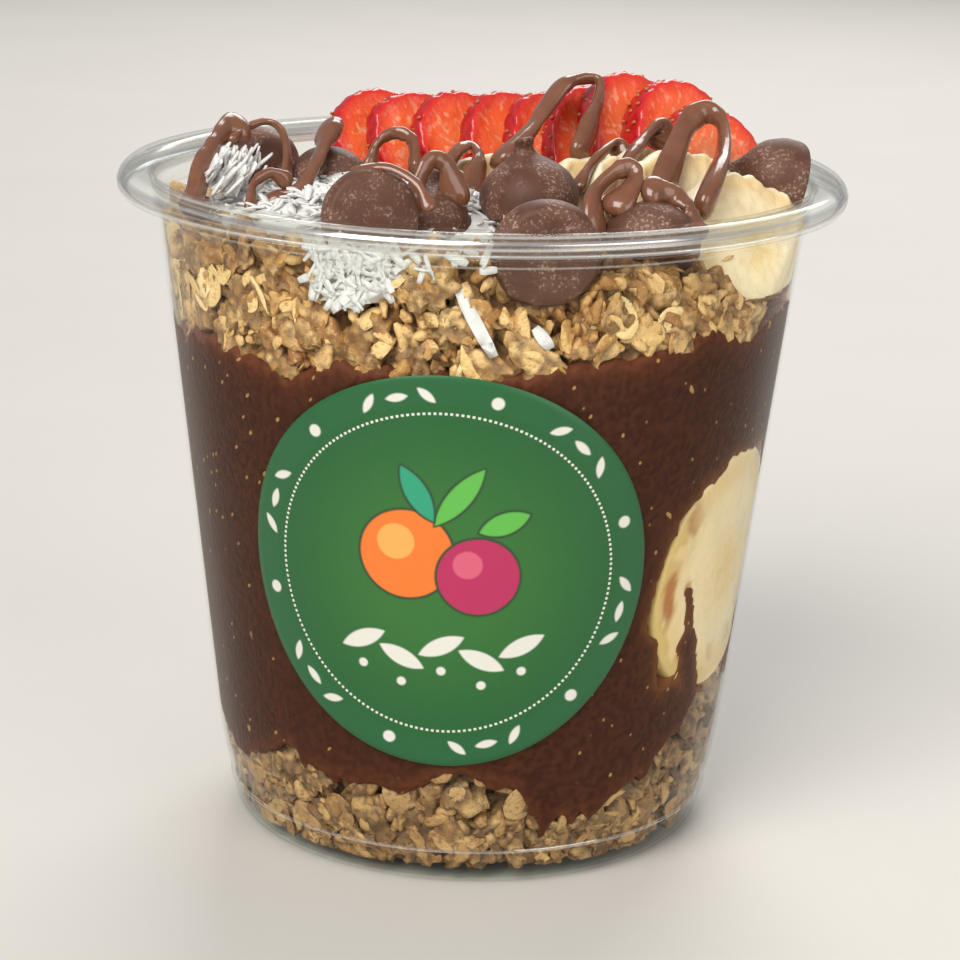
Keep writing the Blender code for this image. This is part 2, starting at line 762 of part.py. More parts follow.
def build():
    for obj in list(bpy.data.objects):
        bpy.data.objects.remove(obj)
    bpy.context.scene.collection.children.link(PARTS)
    COLOURS.update(
        clear_plastic=material("clear_plastic", (0.9, 0.92, 0.9), 0.05, 0.3),
        sticker_green=material("sticker_green", (0.02, 0.22, 0.06), 0.45),
        granola=material("granola", (0.55, 0.34, 0.14), 0.8),
        smoothie=material("smoothie", (0.06, 0.017, 0.009), 0.5),
        coconut=material("coconut", (0.85, 0.84, 0.8), 0.7),
        chocolate=material("chocolate", (0.075, 0.032, 0.022), 0.45),
        strawberry=material("strawberry", (0.7, 0.05, 0.02), 0.35),
        banana=material("banana", (0.82, 0.66, 0.32), 0.5),
    )
    make_cup()
    make_sticker()
    make_bottom_granola()
    smoothie = make_smoothie()
    sides = [side_slice(f"banana_side_{k + 1}", *where) for k, where in enumerate(SIDE_SLICES)]
    boolean(smoothie, [cutter_of(piece) for piece in sides], "DIFFERENCE")
    keep_largest(smoothie)

    drops = [make_drop(name, *where) for name, where in DROPS.items()]
    bananas = [banana_slice(f"banana_slice_{k + 1}", *where) for k, where in enumerate(BANANAS)]
    berries = [berry_slice(f"strawberry_slice_{k + 1}", *where) for k, where in enumerate(BERRIES)]
    bpy.context.view_layer.update()
    make_room(bananas, drops)
    make_room(berries, drops + bananas)
    toppings = drops + bananas + berries
    coconut = make_coconut()
    granola = make_top_granola()
    fans = [hull_cutter(bananas), hull_cutter(berries)]
    make_room([coconut], drops, [fan.copy() for fan in fans])
    make_room([granola], drops, fans + [coconut_mound("bed", 1.4)])
    add_drizzle({piece.name: piece for piece in toppings + [coconut, granola]})
    for piece in PARTS.objects:
        piece.data.shade_smooth()
        piece.data.set_sharp_from_angle(angle=math.radians(40))


build()
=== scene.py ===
"""A chocolate parfait in a clear cup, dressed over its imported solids.

Sizes are written in millimetres and turned into metres where a mesh is made. An angle round the cup is 0 at
the front, where the sticker is, and grows towards +X.
"""

import math
import random

import bmesh
import bpy
import numpy as np
from mathutils import Matrix, Vector, noise


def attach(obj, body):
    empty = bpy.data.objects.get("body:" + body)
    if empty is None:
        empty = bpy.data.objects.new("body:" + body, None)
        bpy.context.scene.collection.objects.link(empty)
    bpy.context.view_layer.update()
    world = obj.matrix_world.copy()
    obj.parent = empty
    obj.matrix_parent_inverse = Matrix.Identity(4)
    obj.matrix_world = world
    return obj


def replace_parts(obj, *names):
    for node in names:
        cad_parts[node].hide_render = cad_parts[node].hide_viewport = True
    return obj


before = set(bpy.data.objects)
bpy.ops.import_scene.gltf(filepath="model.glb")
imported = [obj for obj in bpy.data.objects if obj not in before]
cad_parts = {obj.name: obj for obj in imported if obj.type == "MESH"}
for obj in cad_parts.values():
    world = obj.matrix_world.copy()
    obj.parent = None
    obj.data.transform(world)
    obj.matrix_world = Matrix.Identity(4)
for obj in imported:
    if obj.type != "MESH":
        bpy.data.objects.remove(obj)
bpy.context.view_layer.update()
MM = 0.001


# ---------------------------------------------------------------- the camera
# The cup is seen from a little above, close to, with the camera turned slightly about its own line of sight.

CAMERA_DISTANCE = 400.0
CAMERA_PITCH = 0.275
CAMERA_ROLL = 0.027
AIM = Vector((0.716, 0.0, 46.876))

ahead = Vector((0, math.cos(CAMERA_PITCH), -math.sin(CAMERA_PITCH)))
level = Vector((1, 0, 0))
upright = Vector((0, math.sin(CAMERA_PITCH), math.cos(CAMERA_PITCH)))
right = level * math.cos(CAMERA_ROLL) + upright * math.sin(CAMERA_ROLL)
above = upright * math.cos(CAMERA_ROLL) - level * math.sin(CAMERA_ROLL)
lens = bpy.data.cameras.new("camera")
lens.sensor_width = 36
lens.lens = 107.34
lens.clip_start = 0.01
camera = bpy.data.objects.new("camera", lens)
turned = Matrix((right, above, -ahead)).transposed().to_4x4()
camera.matrix_world = Matrix.Translation((AIM - ahead * CAMERA_DISTANCE) * MM) @ turned
bpy.context.scene.collection.objects.link(camera)
bpy.context.scene.camera = camera


# ---------------------------------------------------------------- the clear cup
# A thermoformed PET cup: one thin sheet drawn into a tapered wall with a stacking ring low down, a ledge
# under the rim and an outward curl. It is clear and glossy, so it shows mostly at its edges and bends.

CUP_HEIGHT = 91.0
RIM_RADIUS = 49.0
WALL = 0.5
WALL_FOOT = (35.4, 14.0)
WALL_TOP = (43.6, 85.0)
CUP_STEPS = 168


def rounded(corners, passes):
    """Cuts the corners of an open line of points until it curves, its two ends staying where they are."""
    line = [np.array(p, float) for p in corners]
    for _ in range(passes):
        cut = [line[0]]
        for a, b in zip(line, line[1:]):
            cut += [a * 0.75 + b * 0.25, a * 0.25 + b * 0.75]
        line = cut + [line[-1]]
    return np.array(line)


sheet = rounded([
    (0, 1.7), (25.8, 1.7), (27.6, 1.3), (29.2, 0.1), (31.4, 0.1), (32.9, 1.6), (33.3, 4.3), (33.75, 5.0),
    (33.35, 5.7), (34.5, 8.6), WALL_FOOT, (36.2, 21.0), (42.9, 79.0), WALL_TOP, (44.3, 85.7), (44.25, 87.0),
    (44.7, 90.0), (45.6, 91.1), (48.0, 91.0), (49.2, 89.6), (48.8, 87.9), (47.9, 88.0),
], 2)


def wall_radius(height):
    """Radius of the inner face of the wall at a height."""
    rising = sheet[(sheet[:, 0] > 31) & (sheet[:, 0] < 44.35) & (sheet[:, 1] > 0.5)]
    return np.interp(height, rising[:, 1], rising[:, 0]) - WALL / 2


def offset_line(line, out):
    """The line moved sideways by out, to the right of its run."""
    run = np.gradient(line, axis=0)
    run /= np.linalg.norm(run, axis=1)[:, None]
    return line + np.stack([run[:, 1], -run[:, 0]], 1) * out


def column_faces(steps, count, closed=False):
    """Faces between upright columns of count points that stand side by side in a ring."""
    faces = []
    for column in range(steps):
        here, there = column * count, (column + 1) % steps * count
        for k in range(count if closed else count - 1):
            after = (k + 1) % count
            faces.append((here + k, there + k, there + after, here + after))
    return faces


def turned_about_z(profile, steps, closed):
    """Points and faces of a profile of (radius, height) turned about the vertical axis."""
    count = len(profile)
    turn = np.arange(steps) * 2 * math.pi / steps
    points = np.stack([
        np.outer(np.sin(turn), profile[:, 0]), -np.outer(np.cos(turn), profile[:, 0]),
        np.tile(profile[:, 1], (steps, 1)),
    ], 2).reshape(-1, 3)
    return points, column_faces(steps, count, closed)


def make_piece(name, points, faces, finish, slot, **marks):
    """A piece from points in millimetres. Each mark is a number per point that its finish reads."""
    mesh = bpy.data.meshes.new(name)
    mesh.from_pydata((np.asarray(points, float) * MM).tolist(), [], [tuple(map(int, face)) for face in faces])
    for mark, values in marks.items():
        mesh.attributes.new(mark, "FLOAT", "POINT").data.foreach_set("value", np.asarray(values, np.float32))
    mesh.validate()
    mesh.shade_smooth()
    mesh.materials.append(finish)
    made = bpy.data.objects.new(name, mesh)
    bpy.context.scene.collection.objects.link(made)
    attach(made, "root")
    return made


class Value:
    """A socket of a finish. Python's operators on it add Math nodes."""

    def __init__(self, finish, socket):
        self.finish = finish
        self.socket = socket

    def math(self, operation, *others):
        return self.finish.node("Math", {"operation": operation}, dict(enumerate((self, *others))))

    def __add__(self, other):
        return self.math("ADD", other)

    def __sub__(self, other):
        return self.math("SUBTRACT", other)

    def __mul__(self, other):
        return self.math("MULTIPLY", other)

    def __pow__(self, other):
        return self.math("POWER", other)

    def __rsub__(self, other):
        return self.finish.node("Math", {"operation": "SUBTRACT"}, {0: other, 1: self})

    __radd__ = __add__
    __rmul__ = __mul__


class Finish:
    """A material. Its sockets' own settings come first, then what varies over the surface."""

    def __init__(self, name, **settings):
        self.material = bpy.data.materials.new(name)
        self.material.use_nodes = True
        self.tree = self.material.node_tree
        self.shader = self.tree.nodes["Principled BSDF"]
        self.show(**settings)

    def plug(self, socket, value):
        if isinstance(value, Value):
            self.tree.links.new(value.socket, socket)
        elif socket.type == "RGBA":
            socket.default_value = (*value[:3], 1)
        else:
            socket.default_value = value

    def show(self, **settings):
        """Sets or links sockets of the main shader, written with _ for a space."""
        for name, value in settings.items():
            self.plug(self.shader.inputs[name.replace("_", " ")], value)

    def node(self, kind, settings, sockets, out=0):
        """Adds a node: its settings first, then its sockets' values or links. Returns the output wanted."""
        made = self.tree.nodes.new("ShaderNode" + kind)
        for name, value in settings.items():
            if name == "stops":
                ramp = made.color_ramp
                ramp.elements.remove(ramp.elements[1])
                ramp.elements[0].position, ramp.elements[0].color = value[0][0], (*value[0][1], 1)
                for place, colour in value[1:]:
                    ramp.elements.new(place).color = (*colour, 1)
            else:
                setattr(made, name, value)
        for name, value in sockets.items():
            self.plug(made.inputs[name], value)
        return Value(self, made.outputs[out])

    def place(self):
        return self.node("TexCoord", {}, {}, "Object")

    def mark(self, name):
        return self.node("Attribute", {"attribute_name": name}, {}, "Fac")

    def grain(self, size, detail=2.0, rough=0.5):
        """Noise from 0 to 1 with lumps of about a size in millimetres."""
        sockets = {"Vector": self.place(), "Scale": 1000 / size, "Detail": detail, "Roughness": rough}
        return self.node("TexNoise", {}, sockets)

    def step(self, value, low, high):
        """0 below low, 1 above high, and smooth between."""
        return self.node("MapRange", {"interpolation_type": "SMOOTHSTEP"}, {0: value, 1: low, 2: high})

    def mix(self, share, a, b):
        return self.node("Mix", {"data_type": "RGBA"}, {0: share, 6: a, 7: b}, 2)

    def ramp(self, value, *stops):
        return self.node("ValToRGB", {"stops": stops}, {0: value})

    def bump(self, height, depth, strength=1.0):
        """A relief depth in millimetres for a height from 0 to 1."""
        return self.node("Bump", {}, {"Height": height, "Distance": depth * MM, "Strength": strength})

    def mixed_with_clear(self, share):
        """Shows share of the main shader over what lies behind it."""
        clear = self.node("BsdfTransparent", {}, {"Color": (0.99, 1.0, 0.99)})
        mixed = self.node("MixShader", {}, {0: share, 1: clear, 2: Value(self, self.shader.outputs[0])})
        self.plug(self.tree.nodes["Material Output"].inputs["Surface"], mixed)


plastic = Finish("clear_plastic", Metallic=1.0)
facing = plastic.node("LayerWeight", {}, {"Blend": 0.5}, "Facing")
height = plastic.node("SeparateXYZ", {}, {0: plastic.place()}, 2) * 1000.0


def line_at(level, half):
    """1 on a thin level line round the cup, its height and half width in millimetres."""
    return plastic.step((height - level).math("ABSOLUTE"), half, half * 0.4)


RING_LINE = 5.1
LEDGE_LINE = 86.0
CLEAR_SHARE = 0.004
bright = (0.95, 0.96, 0.95)
# The mirror's tint by facing is painted reflection: a grey band just short of the silhouette, white at the very
# edge.
bent = plastic.ramp(
    facing, (0.0, bright), (0.72, bright), (0.84, (0.42, 0.41, 0.38)), (0.93, (0.97, 0.97, 0.97)),
)
roll = plastic.step(height, 88.2, 88.6) * plastic.step(height, 90.1, 89.7)
# Three thin bright lines along the rim are painted highlights, in both the tint and the mirror share.
painted_rim_highlights = line_at(88.3, 0.3) + line_at(89.95, 0.26) + line_at(89.2, 0.12) * 0.6
# Over the curl the tint is a painted dark brownish band of reflection and shade; the curl's raised roughness is
# its own.
bent = plastic.mix(roll, bent, (0.42, 0.37, 0.33))
bent = plastic.mix(painted_rim_highlights, bent, (0.97, 0.98, 1.0))
plastic.show(Base_Color=bent, Roughness=0.08 + 0.15 * roll)
shine = CLEAR_SHARE + 0.75 * facing ** 6.0 + 0.2 * roll + 0.34 * painted_rim_highlights
# The lines at the stacking ring and the ledge are painted highlight lines.
shine = shine + 0.36 * line_at(RING_LINE, 0.13) + 0.2 * line_at(LEDGE_LINE, 0.14)
plastic.mixed_with_clear(shine)

outer = offset_line(sheet, WALL / 2)
inner = offset_line(sheet, -WALL / 2)
outer[0, 0] = inner[0, 0] = 0.01
outer[:, 1] = np.clip(outer[:, 1], 0, CUP_HEIGHT)
outer[:, 0] = np.minimum(outer[:, 0], RIM_RADIUS)
inner[:, 1] = np.clip(inner[:, 1], 0.3, CUP_HEIGHT)
cup_line = np.concatenate([outer, inner[::-1]])
cup = make_piece("cup_sheet", *turned_about_z(cup_line, CUP_STEPS, True), plastic.material, "clear_plastic")
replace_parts(cup, "cup")


# ---------------------------------------------------------------- the sticker
# A round printed paper sticker with a satin film, stuck to the wall and bent with it. The print is a plain
# pattern: a green disc, a ring of fine dots, larger dots and leaves round the edge, and fruit in the middle.

STICKER_RADIUS = 27.0
STICKER_CENTRE = (-5.5, 45.2)
STICKER_RINGS = 30
STICKER_STEPS = 160


def on_wall(across, up, lift):
    """A point of a flat sheet wrapped on the wall's cone, across and up from the sticker's centre."""
    slope = (WALL_TOP[0] - WALL_FOOT[0]) / (WALL_TOP[1] - WALL_FOOT[1])
    lean = math.atan(slope)
    foot = WALL_FOOT[0] + WALL / 2
    from_apex = (foot + slope * (STICKER_CENTRE[1] - WALL_FOOT[1])) / math.sin(lean)
    reach = math.hypot(across, from_apex + up)
    turn = math.radians(STICKER_CENTRE[0]) + math.atan2(across, from_apex + up) / math.sin(lean)
    radius = reach * math.sin(lean)
    height = WALL_FOOT[1] + (radius - foot) / slope
    return (radius + lift) * math.sin(turn), -(radius + lift) * math.cos(turn), height


def ring_faces(rings, steps, flipped=False, foot=False, tip=False):
    """Faces between rings of points, and flat ones over the first ring and the last where wanted."""
    faces = []
    for ring in range(rings - 1):
        for k in range(steps):
            a, b = ring * steps + k, ring * steps + (k + 1) % steps
            faces.append((a, a + steps, b + steps, b) if flipped else (a, b, b + steps, a + steps))
    for wanted, first, turned in ((foot, 0, not flipped), (tip, (rings - 1) * steps, flipped)):
        if wanted:
            end = range(first, first + steps)
            faces.append(tuple(reversed(end) if turned else end))
    return faces


sticker_points, sticker_across, sticker_up = [], [], []
print_rows = [(k / STICKER_RINGS, 0.34) for k in range(1, STICKER_RINGS + 1)]
print_rows += [(1.002, 0.28), (1.0, 0.14), (0.5, 0.12)]
for share, lift in print_rows:
    for k in range(STICKER_STEPS):
        turn = 2 * math.pi * k / STICKER_STEPS
        across, up = share * math.cos(turn), share * math.sin(turn)
        sticker_points.append(on_wall(across * STICKER_RADIUS, up * STICKER_RADIUS, lift))
        sticker_across.append(across)
        sticker_up.append(up)

paper = Finish("sticker_print", Roughness=0.42, Specular_IOR_Level=0.4, Coat_Weight=0.15, Coat_Roughness=0.3)
across = paper.mark("across")
up = paper.mark("up")
reach = (across * across + up * up) ** 0.5
turn = up.math("ARCTAN2", across)


def disc(x, y, radius):
    """1 inside a circle of the print, 0 outside it, with a fine soft edge."""
    away = ((across - x) ** 2.0 + (up - y) ** 2.0) ** 0.5
    return paper.step(away, radius + 0.006, radius - 0.006)


def leaf(x, y, angle, length, width):
    """A pointed leaf, where two discs overlap."""
    bow = (length * length + width * width) / (4 * width)
    off = bow - width / 2
    dx, dy = -math.sin(angle) * off, math.cos(angle) * off
    return disc(x + dx, y + dy, bow) * disc(x - dx, y - dy, bow)


speckle = paper.grain(0.35, 2.0)
green = paper.mix(paper.step(reach, 0.2, 0.86), (0.026, 0.138, 0.02), (0.006, 0.09, 0.018))
green = paper.mix(paper.step(reach, 0.855, 0.865), green, (0.007, 0.094, 0.025))
CREAM, OUTLINE = (0.68, 0.67, 0.6), (0.02, 0.05, 0.02)
BEADS = 200
BEAD_RING = 0.815
EDGE_RING = 0.905
beads = (turn * (BEADS / math.pi / 2)).math("FRACT")
ring = paper.step((reach - BEAD_RING).math("ABSOLUTE"), 0.008, 0.004)
ring = ring * paper.step((beads - 0.5).math("ABSOLUTE"), 0.32, 0.2)
printed = [(speckle * 0.25, (0.024, 0.16, 0.042)), (ring, CREAM)]


def on_edge(degrees):
    """A place on the ring of dots and leaves."""
    angle = math.radians(degrees)
    return EDGE_RING * math.cos(angle), EDGE_RING * math.sin(angle), angle


for k in range(6):
    x, y, _ = on_edge(k * 60 + 14)
    printed.append((disc(x, y, 0.03), CREAM))
for k in range(6):
    for side in (-1, 0, 1):
        x, y, angle = on_edge(k * 60 + 44 + side * 9)
        printed.append((leaf(x, y, angle + 1.57 + 0.75 * side, 0.11, 0.04), CREAM))
for x, y, radius, skin, light, glint in (
    (-0.17, 0.1, 0.222, (0.75, 0.17, 0.02), (0.85, 0.36, 0.08), (-0.22, 0.16, 0.09)),
    (0.17, 0.0, 0.192, (0.42, 0.02, 0.09), (0.6, 0.1, 0.17), (0.12, 0.06, 0.07)),
):
    printed += [(disc(x, y, radius + 0.013), OUTLINE), (disc(x, y, radius), skin), (disc(*glint), light)]
for x, y, angle, length, colour in (
    (0.08, 0.4, 0.9, 0.4, (0.1, 0.42, 0.06)), (-0.12, 0.41, 2.1, 0.34, (0.02, 0.3, 0.16)),
    (0.29, 0.27, 0.35, 0.28, (0.1, 0.42, 0.06)),
):
    printed += [(leaf(x, y, angle, length, 0.13), OUTLINE), (leaf(x, y, angle, length - 0.03, 0.105), colour)]
for k, sway in enumerate((1, -1, 1, -1, 1)):
    x, y = (k - 2) * 0.19, -0.4 + 0.035 * sway
    printed += [(leaf(x, y, 0.45 * sway, 0.24, 0.085), CREAM), (disc(x, y - 0.13, 0.022), CREAM)]
design = green
for mask, colour in printed:
    design = paper.mix(mask, design, colour)
paper.show(Base_Color=design, Normal=paper.bump(speckle, 0.02))
sticker_faces = ring_faces(len(print_rows), STICKER_STEPS, flipped=True, foot=True, tip=True)
sticker = make_piece(
    "sticker_face", sticker_points, sticker_faces, paper.material, "sticker_green",
    across=sticker_across, up=sticker_up,
)
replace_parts(sticker, "sticker")


# ---------------------------------------------------------------- the smoothie
# A thick, dark chocolate and berry smoothie spooned in over the granola. It presses flat against the wall
# with a fine pebbled skin, gold flecks, a redder thin edge, and pockets where banana stands at the wall.

LOWER_EDGE = [
    (-165, 12), (-135, 16), (-105, 11), (-78, 13), (-60, 11), (-43, 16), (-30, 13), (-14, 13),
    (-3, 16.5), (8, 14.5), (19, 8.4), (27, 9), (40, 13), (52, 17), (60, 23), (72, 25), (88, 19),
    (112, 12), (140, 15.5), (170, 10.5),
]
UPPER_EDGE = [
    (-160, 73), (-125, 71), (-95, 73), (-73, 70.8), (-55, 71.6), (-36, 69.8), (-22, 72.2), (-8, 71.8),
    (5, 72), (22, 73.6), (36, 74.2), (48, 75.4), (58, 74), (72, 76.2), (100, 74), (135, 71.5), (165, 74.5),
]
SIDE_SLICES = [(64.0, 40.5, 16.6), (-158.0, 44.0, 15.0)]
SMOOTHIE_STEPS = 540
SMOOTHIE_ROWS = 112
SMOOTHIE_CAPS = 7
INTO_WALL = 0.12
POCKET_DEPTH = 7.2


def smooth(share):
    share = np.clip(share, 0, 1)
    return share * share * (3 - 2 * share)


def rough_at(x, y, z):
    """Smooth noise about 0 at a place."""
    return noise.noise(Vector((x, y, z)))


def round_the_cup(edge, angle):
    """Height of an edge line at an angle in degrees, eased between its stations."""
    angle = (angle + 180) % 360 - 180
    stations = [(edge[-1][0] - 360, edge[-1][1])] + edge + [(edge[0][0] + 360, edge[0][1])]
    for (start, low), (end, high) in zip(stations, stations[1:]):
        if start <= angle <= end:
            return low + (high - low) * smooth((angle - start) / (end - start))
    return edge[0][1]


def ragged(angle, seed, step, depth):
    """Unevenness of an edge round the cup, with lumps about step degrees wide."""
    turn = math.radians(angle)
    ring = 57.3 / step
    return depth * rough_at(math.sin(turn) * ring, math.cos(turn) * ring, seed)


RUNS = [
    (17.5, 1.0, 2.6), (24.5, 0.9, 2.0), (43, 1.1, 2.2), (-38, 1.2, 1.6), (75, 1.3, 2.4), (-100, 1.4, 2.0),
    (130, 1.2, 2.2),
]


def drip(angle):
    """How far thin runs of smoothie hang below its lower edge."""
    return sum(depth * math.exp(-(((angle - at) / wide) ** 2)) for at, wide, depth in RUNS)


def to_line(x, y, start, end):
    """Distance from a point to a short straight line."""
    (ax, ay), (bx, by) = start, end
    share = ((x - ax) * (bx - ax) + (y - ay) * (by - ay)) / ((bx - ax) ** 2 + (by - ay) ** 2)
    share = min(1.0, max(0.0, share))
    return math.hypot(x - ax - share * (bx - ax), y - ay - share * (by - ay))


smoothie_points, smoothie_edge, smoothie_smear = [], [], []


def add_to_smoothie(turn, radius, height, edge, smear):
    smoothie_points.append((radius * math.sin(turn), -radius * math.cos(turn), height))
    smoothie_edge.append(edge)
    smoothie_smear.append(smear)


def add_cap(turn, middle, rim, shares):
    """The smoothie's hidden face, easing from the middle's height to that at the wall."""
    for share in shares:
        height = middle + (rim - middle) * share ** 3
        add_to_smoothie(turn, (wall_radius(height) - 0.7) * share, height, 1, 0)


cap_shares = [cap / SMOOTHIE_CAPS for cap in range(SMOOTHIE_CAPS)]
for k in range(SMOOTHIE_STEPS):
    angle = 360 * k / SMOOTHIE_STEPS - 180
    low = round_the_cup(LOWER_EDGE, angle) + ragged(angle, 1, 7, 1.5) + ragged(angle, 2, 2.2, 0.9)
    low = max(low - drip(angle), 6.4)
    high = round_the_cup(UPPER_EDGE, angle) + ragged(angle, 3, 6, 1.3) + ragged(angle, 4, 1.9, 0.9)
    turn = math.radians(angle)
    add_cap(turn, 15.0, low, cap_shares)
    for row in np.linspace(0, 1, SMOOTHIE_ROWS):
        height = low + (high - low) * row
        to_edge = min(height - low, high - height)
        radius = wall_radius(height) + INTO_WALL
        radius -= 0.9 * (1 - smooth(to_edge / 0.9))
        pocket = 0.0
        smear = 0.0
        for where, middle, size in SIDE_SLICES:
            round_it = math.radians((angle - where + 180) % 360 - 180) * radius
            lobes = rough_at(round_it / 5, height / 5, where) * 1.9
            lobes += rough_at(round_it / 1.7, height / 1.7, where) * 0.6
            rise = height - middle
            away = math.hypot(round_it, rise) - size + lobes
            if where == SIDE_SLICES[0][0]:
                tongue = to_line(round_it, rise, (-8.5, -9.0), (-10.0, -1.0))
                foot = to_line(round_it, rise, (-6.0, -17.0), (-8.5, -9.0))
                streak = to_line(round_it, rise, (-13.8, -3.5), (-12.2, -12.5))
                away = max(away, 1.2 - tongue + 0.5 * lobes)
                away = max(away, 2.6 - foot + 0.5 * lobes)
                away = min(away, streak - 1.2)
            pocket = max(pocket, float(smooth(0.4 - away / 1.0)))
            smear = max(smear, math.exp(-max(0.0, away) / 0.9))
        thin = math.exp(-max(0.0, to_edge) / 1.3)
        add_to_smoothie(turn, radius - POCKET_DEPTH * pocket, height, thin, smear)
    add_cap(turn, 72.5, high, reversed(cap_shares))
smoothie_faces = column_faces(SMOOTHIE_STEPS, SMOOTHIE_ROWS + 2 * SMOOTHIE_CAPS)

thick = Finish("smoothie_skin", Specular_IOR_Level=0.1)
pebbles = thick.grain(0.85, 1.5, 0.5)
clouds = thick.grain(9.0, 2.0)
# The lighter colour on the raised pebbles is painted highlight over the skin's own mottling.
dark = thick.mix(thick.step(pebbles, 0.36, 0.66), (0.032, 0.0086, 0.0034), (0.069, 0.0215, 0.0075))
dark = thick.mix(clouds * 0.5, dark, (0.051, 0.0145, 0.0075))
thin = thick.mix(pebbles, (0.12, 0.03, 0.012), (0.24, 0.07, 0.026))
body = thick.mix(thick.mark("edge") * 0.75, dark, thin)
body = thick.mix(thick.mark("smear") * 0.8, body, (0.3, 0.11, 0.032))
for turned, stretch, cells, bits, size in (
    ((0.5, 0.6, 0), (1, 1, 1.8), 640, 0.5, 0.17), ((0.3, 1.15, 0.3), (1, 1, 7), 200, 0.74, 0.09),
    ((0.2, -0.6, 0), (1, 1.3, 3.5), 340, 0.7, 0.11),
):
    sockets = {0: thick.place(), "Rotation": turned, "Scale": stretch}
    spots = thick.node("Mapping", {"vector_type": "TEXTURE"}, sockets)
    cell = thick.node("TexVoronoi", {}, {"Vector": spots, "Scale": cells, "Randomness": 1.0})
    chosen = thick.node("SeparateColor", {}, {0: Value(thick, cell.socket.node.outputs["Color"])})
    fleck = thick.step(cell + 0.26 * pebbles - 0.13, size, size * 0.5) * thick.step(chosen, bits, bits + 0.04)
    body = thick.mix(fleck * 0.8, body, (0.46, 0.28, 0.09))
thick.show(Base_Color=body, Roughness=0.46 + 0.2 * pebbles, Normal=thick.bump(pebbles, 0.26, 0.8))
smoothie = make_piece(
    "smoothie_body", smoothie_points, smoothie_faces, thick.material, "smoothie",
    edge=smoothie_edge, smear=smoothie_smear,
)
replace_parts(smoothie, "smoothie")


# ---------------------------------------------------------------- banana slices at the wall
# Two thick slices pressed flat against the inside of the cup. The cut face is pale cream, browner at its
# edge, with a soft seed core, and the smoothie has smeared over its rim. The browner band just inside the
# rim is painted shade, and the lighter rim itself is a painted highlight.

SIDE_SLICE_THICK = 6.5
SIDE_RINGS = 26
SIDE_STEPS = 96

flesh = Finish("banana_flesh", Roughness=0.38, Specular_IOR_Level=0.45, Subsurface_Weight=0.12,
               Subsurface_Radius=(0.004, 0.0025, 0.001), Subsurface_Scale=0.5)
core = flesh.mark("reach")
fibre = flesh.grain(1.3, 3.0, 0.6)
bruise = flesh.grain(5.0, 2.0)
cream_tone = flesh.mix(flesh.step(core, 0.05, 0.5), (0.8, 0.57, 0.22), (0.9, 0.74, 0.46))
for mask, colour in (
    (flesh.step(core, 0.7, 1.0), (0.88, 0.69, 0.36)),
    (flesh.step(fibre, 0.35, 0.75) * 0.5, (0.94, 0.83, 0.6)),
    # A browner band just inside the rim: painted shade that sets the slices apart.
    (flesh.step(core, 0.62, 0.82) * flesh.step(core, 0.97, 0.88) * 0.5, (0.74, 0.5, 0.2)),
    # The lighter very rim: a painted highlight.
    (flesh.step(core, 0.93, 0.99) * 0.6, (0.97, 0.9, 0.74)),
    (flesh.step(bruise, 0.55, 0.75) * 0.16, (0.66, 0.42, 0.14)),
    (flesh.mark("film") * 0.9, (0.6, 0.42, 0.13)), (flesh.mark("stain"), (0.42, 0.16, 0.04)),
):
    cream_tone = flesh.mix(mask, cream_tone, colour)
flesh.show(Base_Color=cream_tone, Normal=flesh.bump(fibre, 0.22))

for number, (where, middle, size) in enumerate(SIDE_SLICES):
    points, reaches, stains, films = [], [], [], []
    rows = [(k / SIDE_RINGS, 1.0) for k in range(SIDE_RINGS)]
    rows += [(0.985, 0.97), (1.0, 0.85), (1.0, 0.3), (0.8, 0.0)]
    for share, depth in rows:
        for k in range(SIDE_STEPS):
            turn = 2 * math.pi * k / SIDE_STEPS
            out = size * share * (1 + 0.025 * math.cos(3 * turn + 0.6)) * 1.02
            height = middle + out * math.sin(turn)
            lump = rough_at(out * math.cos(turn) / 4, height / 4, number)
            radius = wall_radius(height) + 0.05 - 0.35 * max(0.0, lump) - (1 - depth) * SIDE_SLICE_THICK
            angle = math.radians(where) + out * math.cos(turn) / wall_radius(height)
            points.append((radius * math.sin(angle), -radius * math.cos(angle), height))
            reaches.append(share)
            spot = Vector((out * math.cos(turn) / 3.2, height / 3.2, 4 + number))
            left = smooth((-math.cos(turn - 0.35) * share - 0.15) / 0.5)
            stains.append(left * smooth((noise.noise(spot) - abs(share - 0.78) * 2.5 + 0.1) * 4))
            films.append(max(0.3, left * smooth((share - 0.84 + 0.1 * noise.noise(spot * 1.7)) / 0.04)))
    slab = make_piece(
        f"side_banana_{number + 1}", points, ring_faces(len(rows), SIDE_STEPS, tip=True), flesh.material,
        "banana", reach=reaches, stain=stains, film=films,
    )
    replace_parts(slab, f"banana_side_{number + 1}")


# ---------------------------------------------------------------- the granola
# Baked lumps of oats and syrup, 7 to 12 mm across, with loose grains and rolled oats among them. They lie
# against the wall above and below the smoothie, over a crumbly heap in painted shade that fills the middle.

OATS = random.Random(31)


def ball(subdivisions):
    """Points and faces of a sphere made of near-equal triangles."""
    form = bmesh.new()
    bmesh.ops.create_icosphere(form, subdivisions=subdivisions, radius=1)
    points = np.array([p.co[:] for p in form.verts])
    faces = np.array([[p.index for p in face.verts] for face in form.faces])
    form.free()
    return points, faces


def lumpy(points, seed, depth, fine=0.0):
    """The points of a ball pushed in and out by noise."""
    pushed = []
    for point in points:
        spot = Vector(point)
        push = 1 + depth * noise.noise(spot * 1.6 + Vector((seed * 7.3, seed, 0)))
        push += fine * noise.noise(spot * 4.5 + Vector((seed, seed * 3.1, 5)))
        pushed.append(point * push)
    return np.array(pushed)


def about(angle, axis):
    return Matrix.Rotation(angle, 3, axis)


def any_way(dice, axis):
    return about(dice.uniform(0, 6.28), axis)


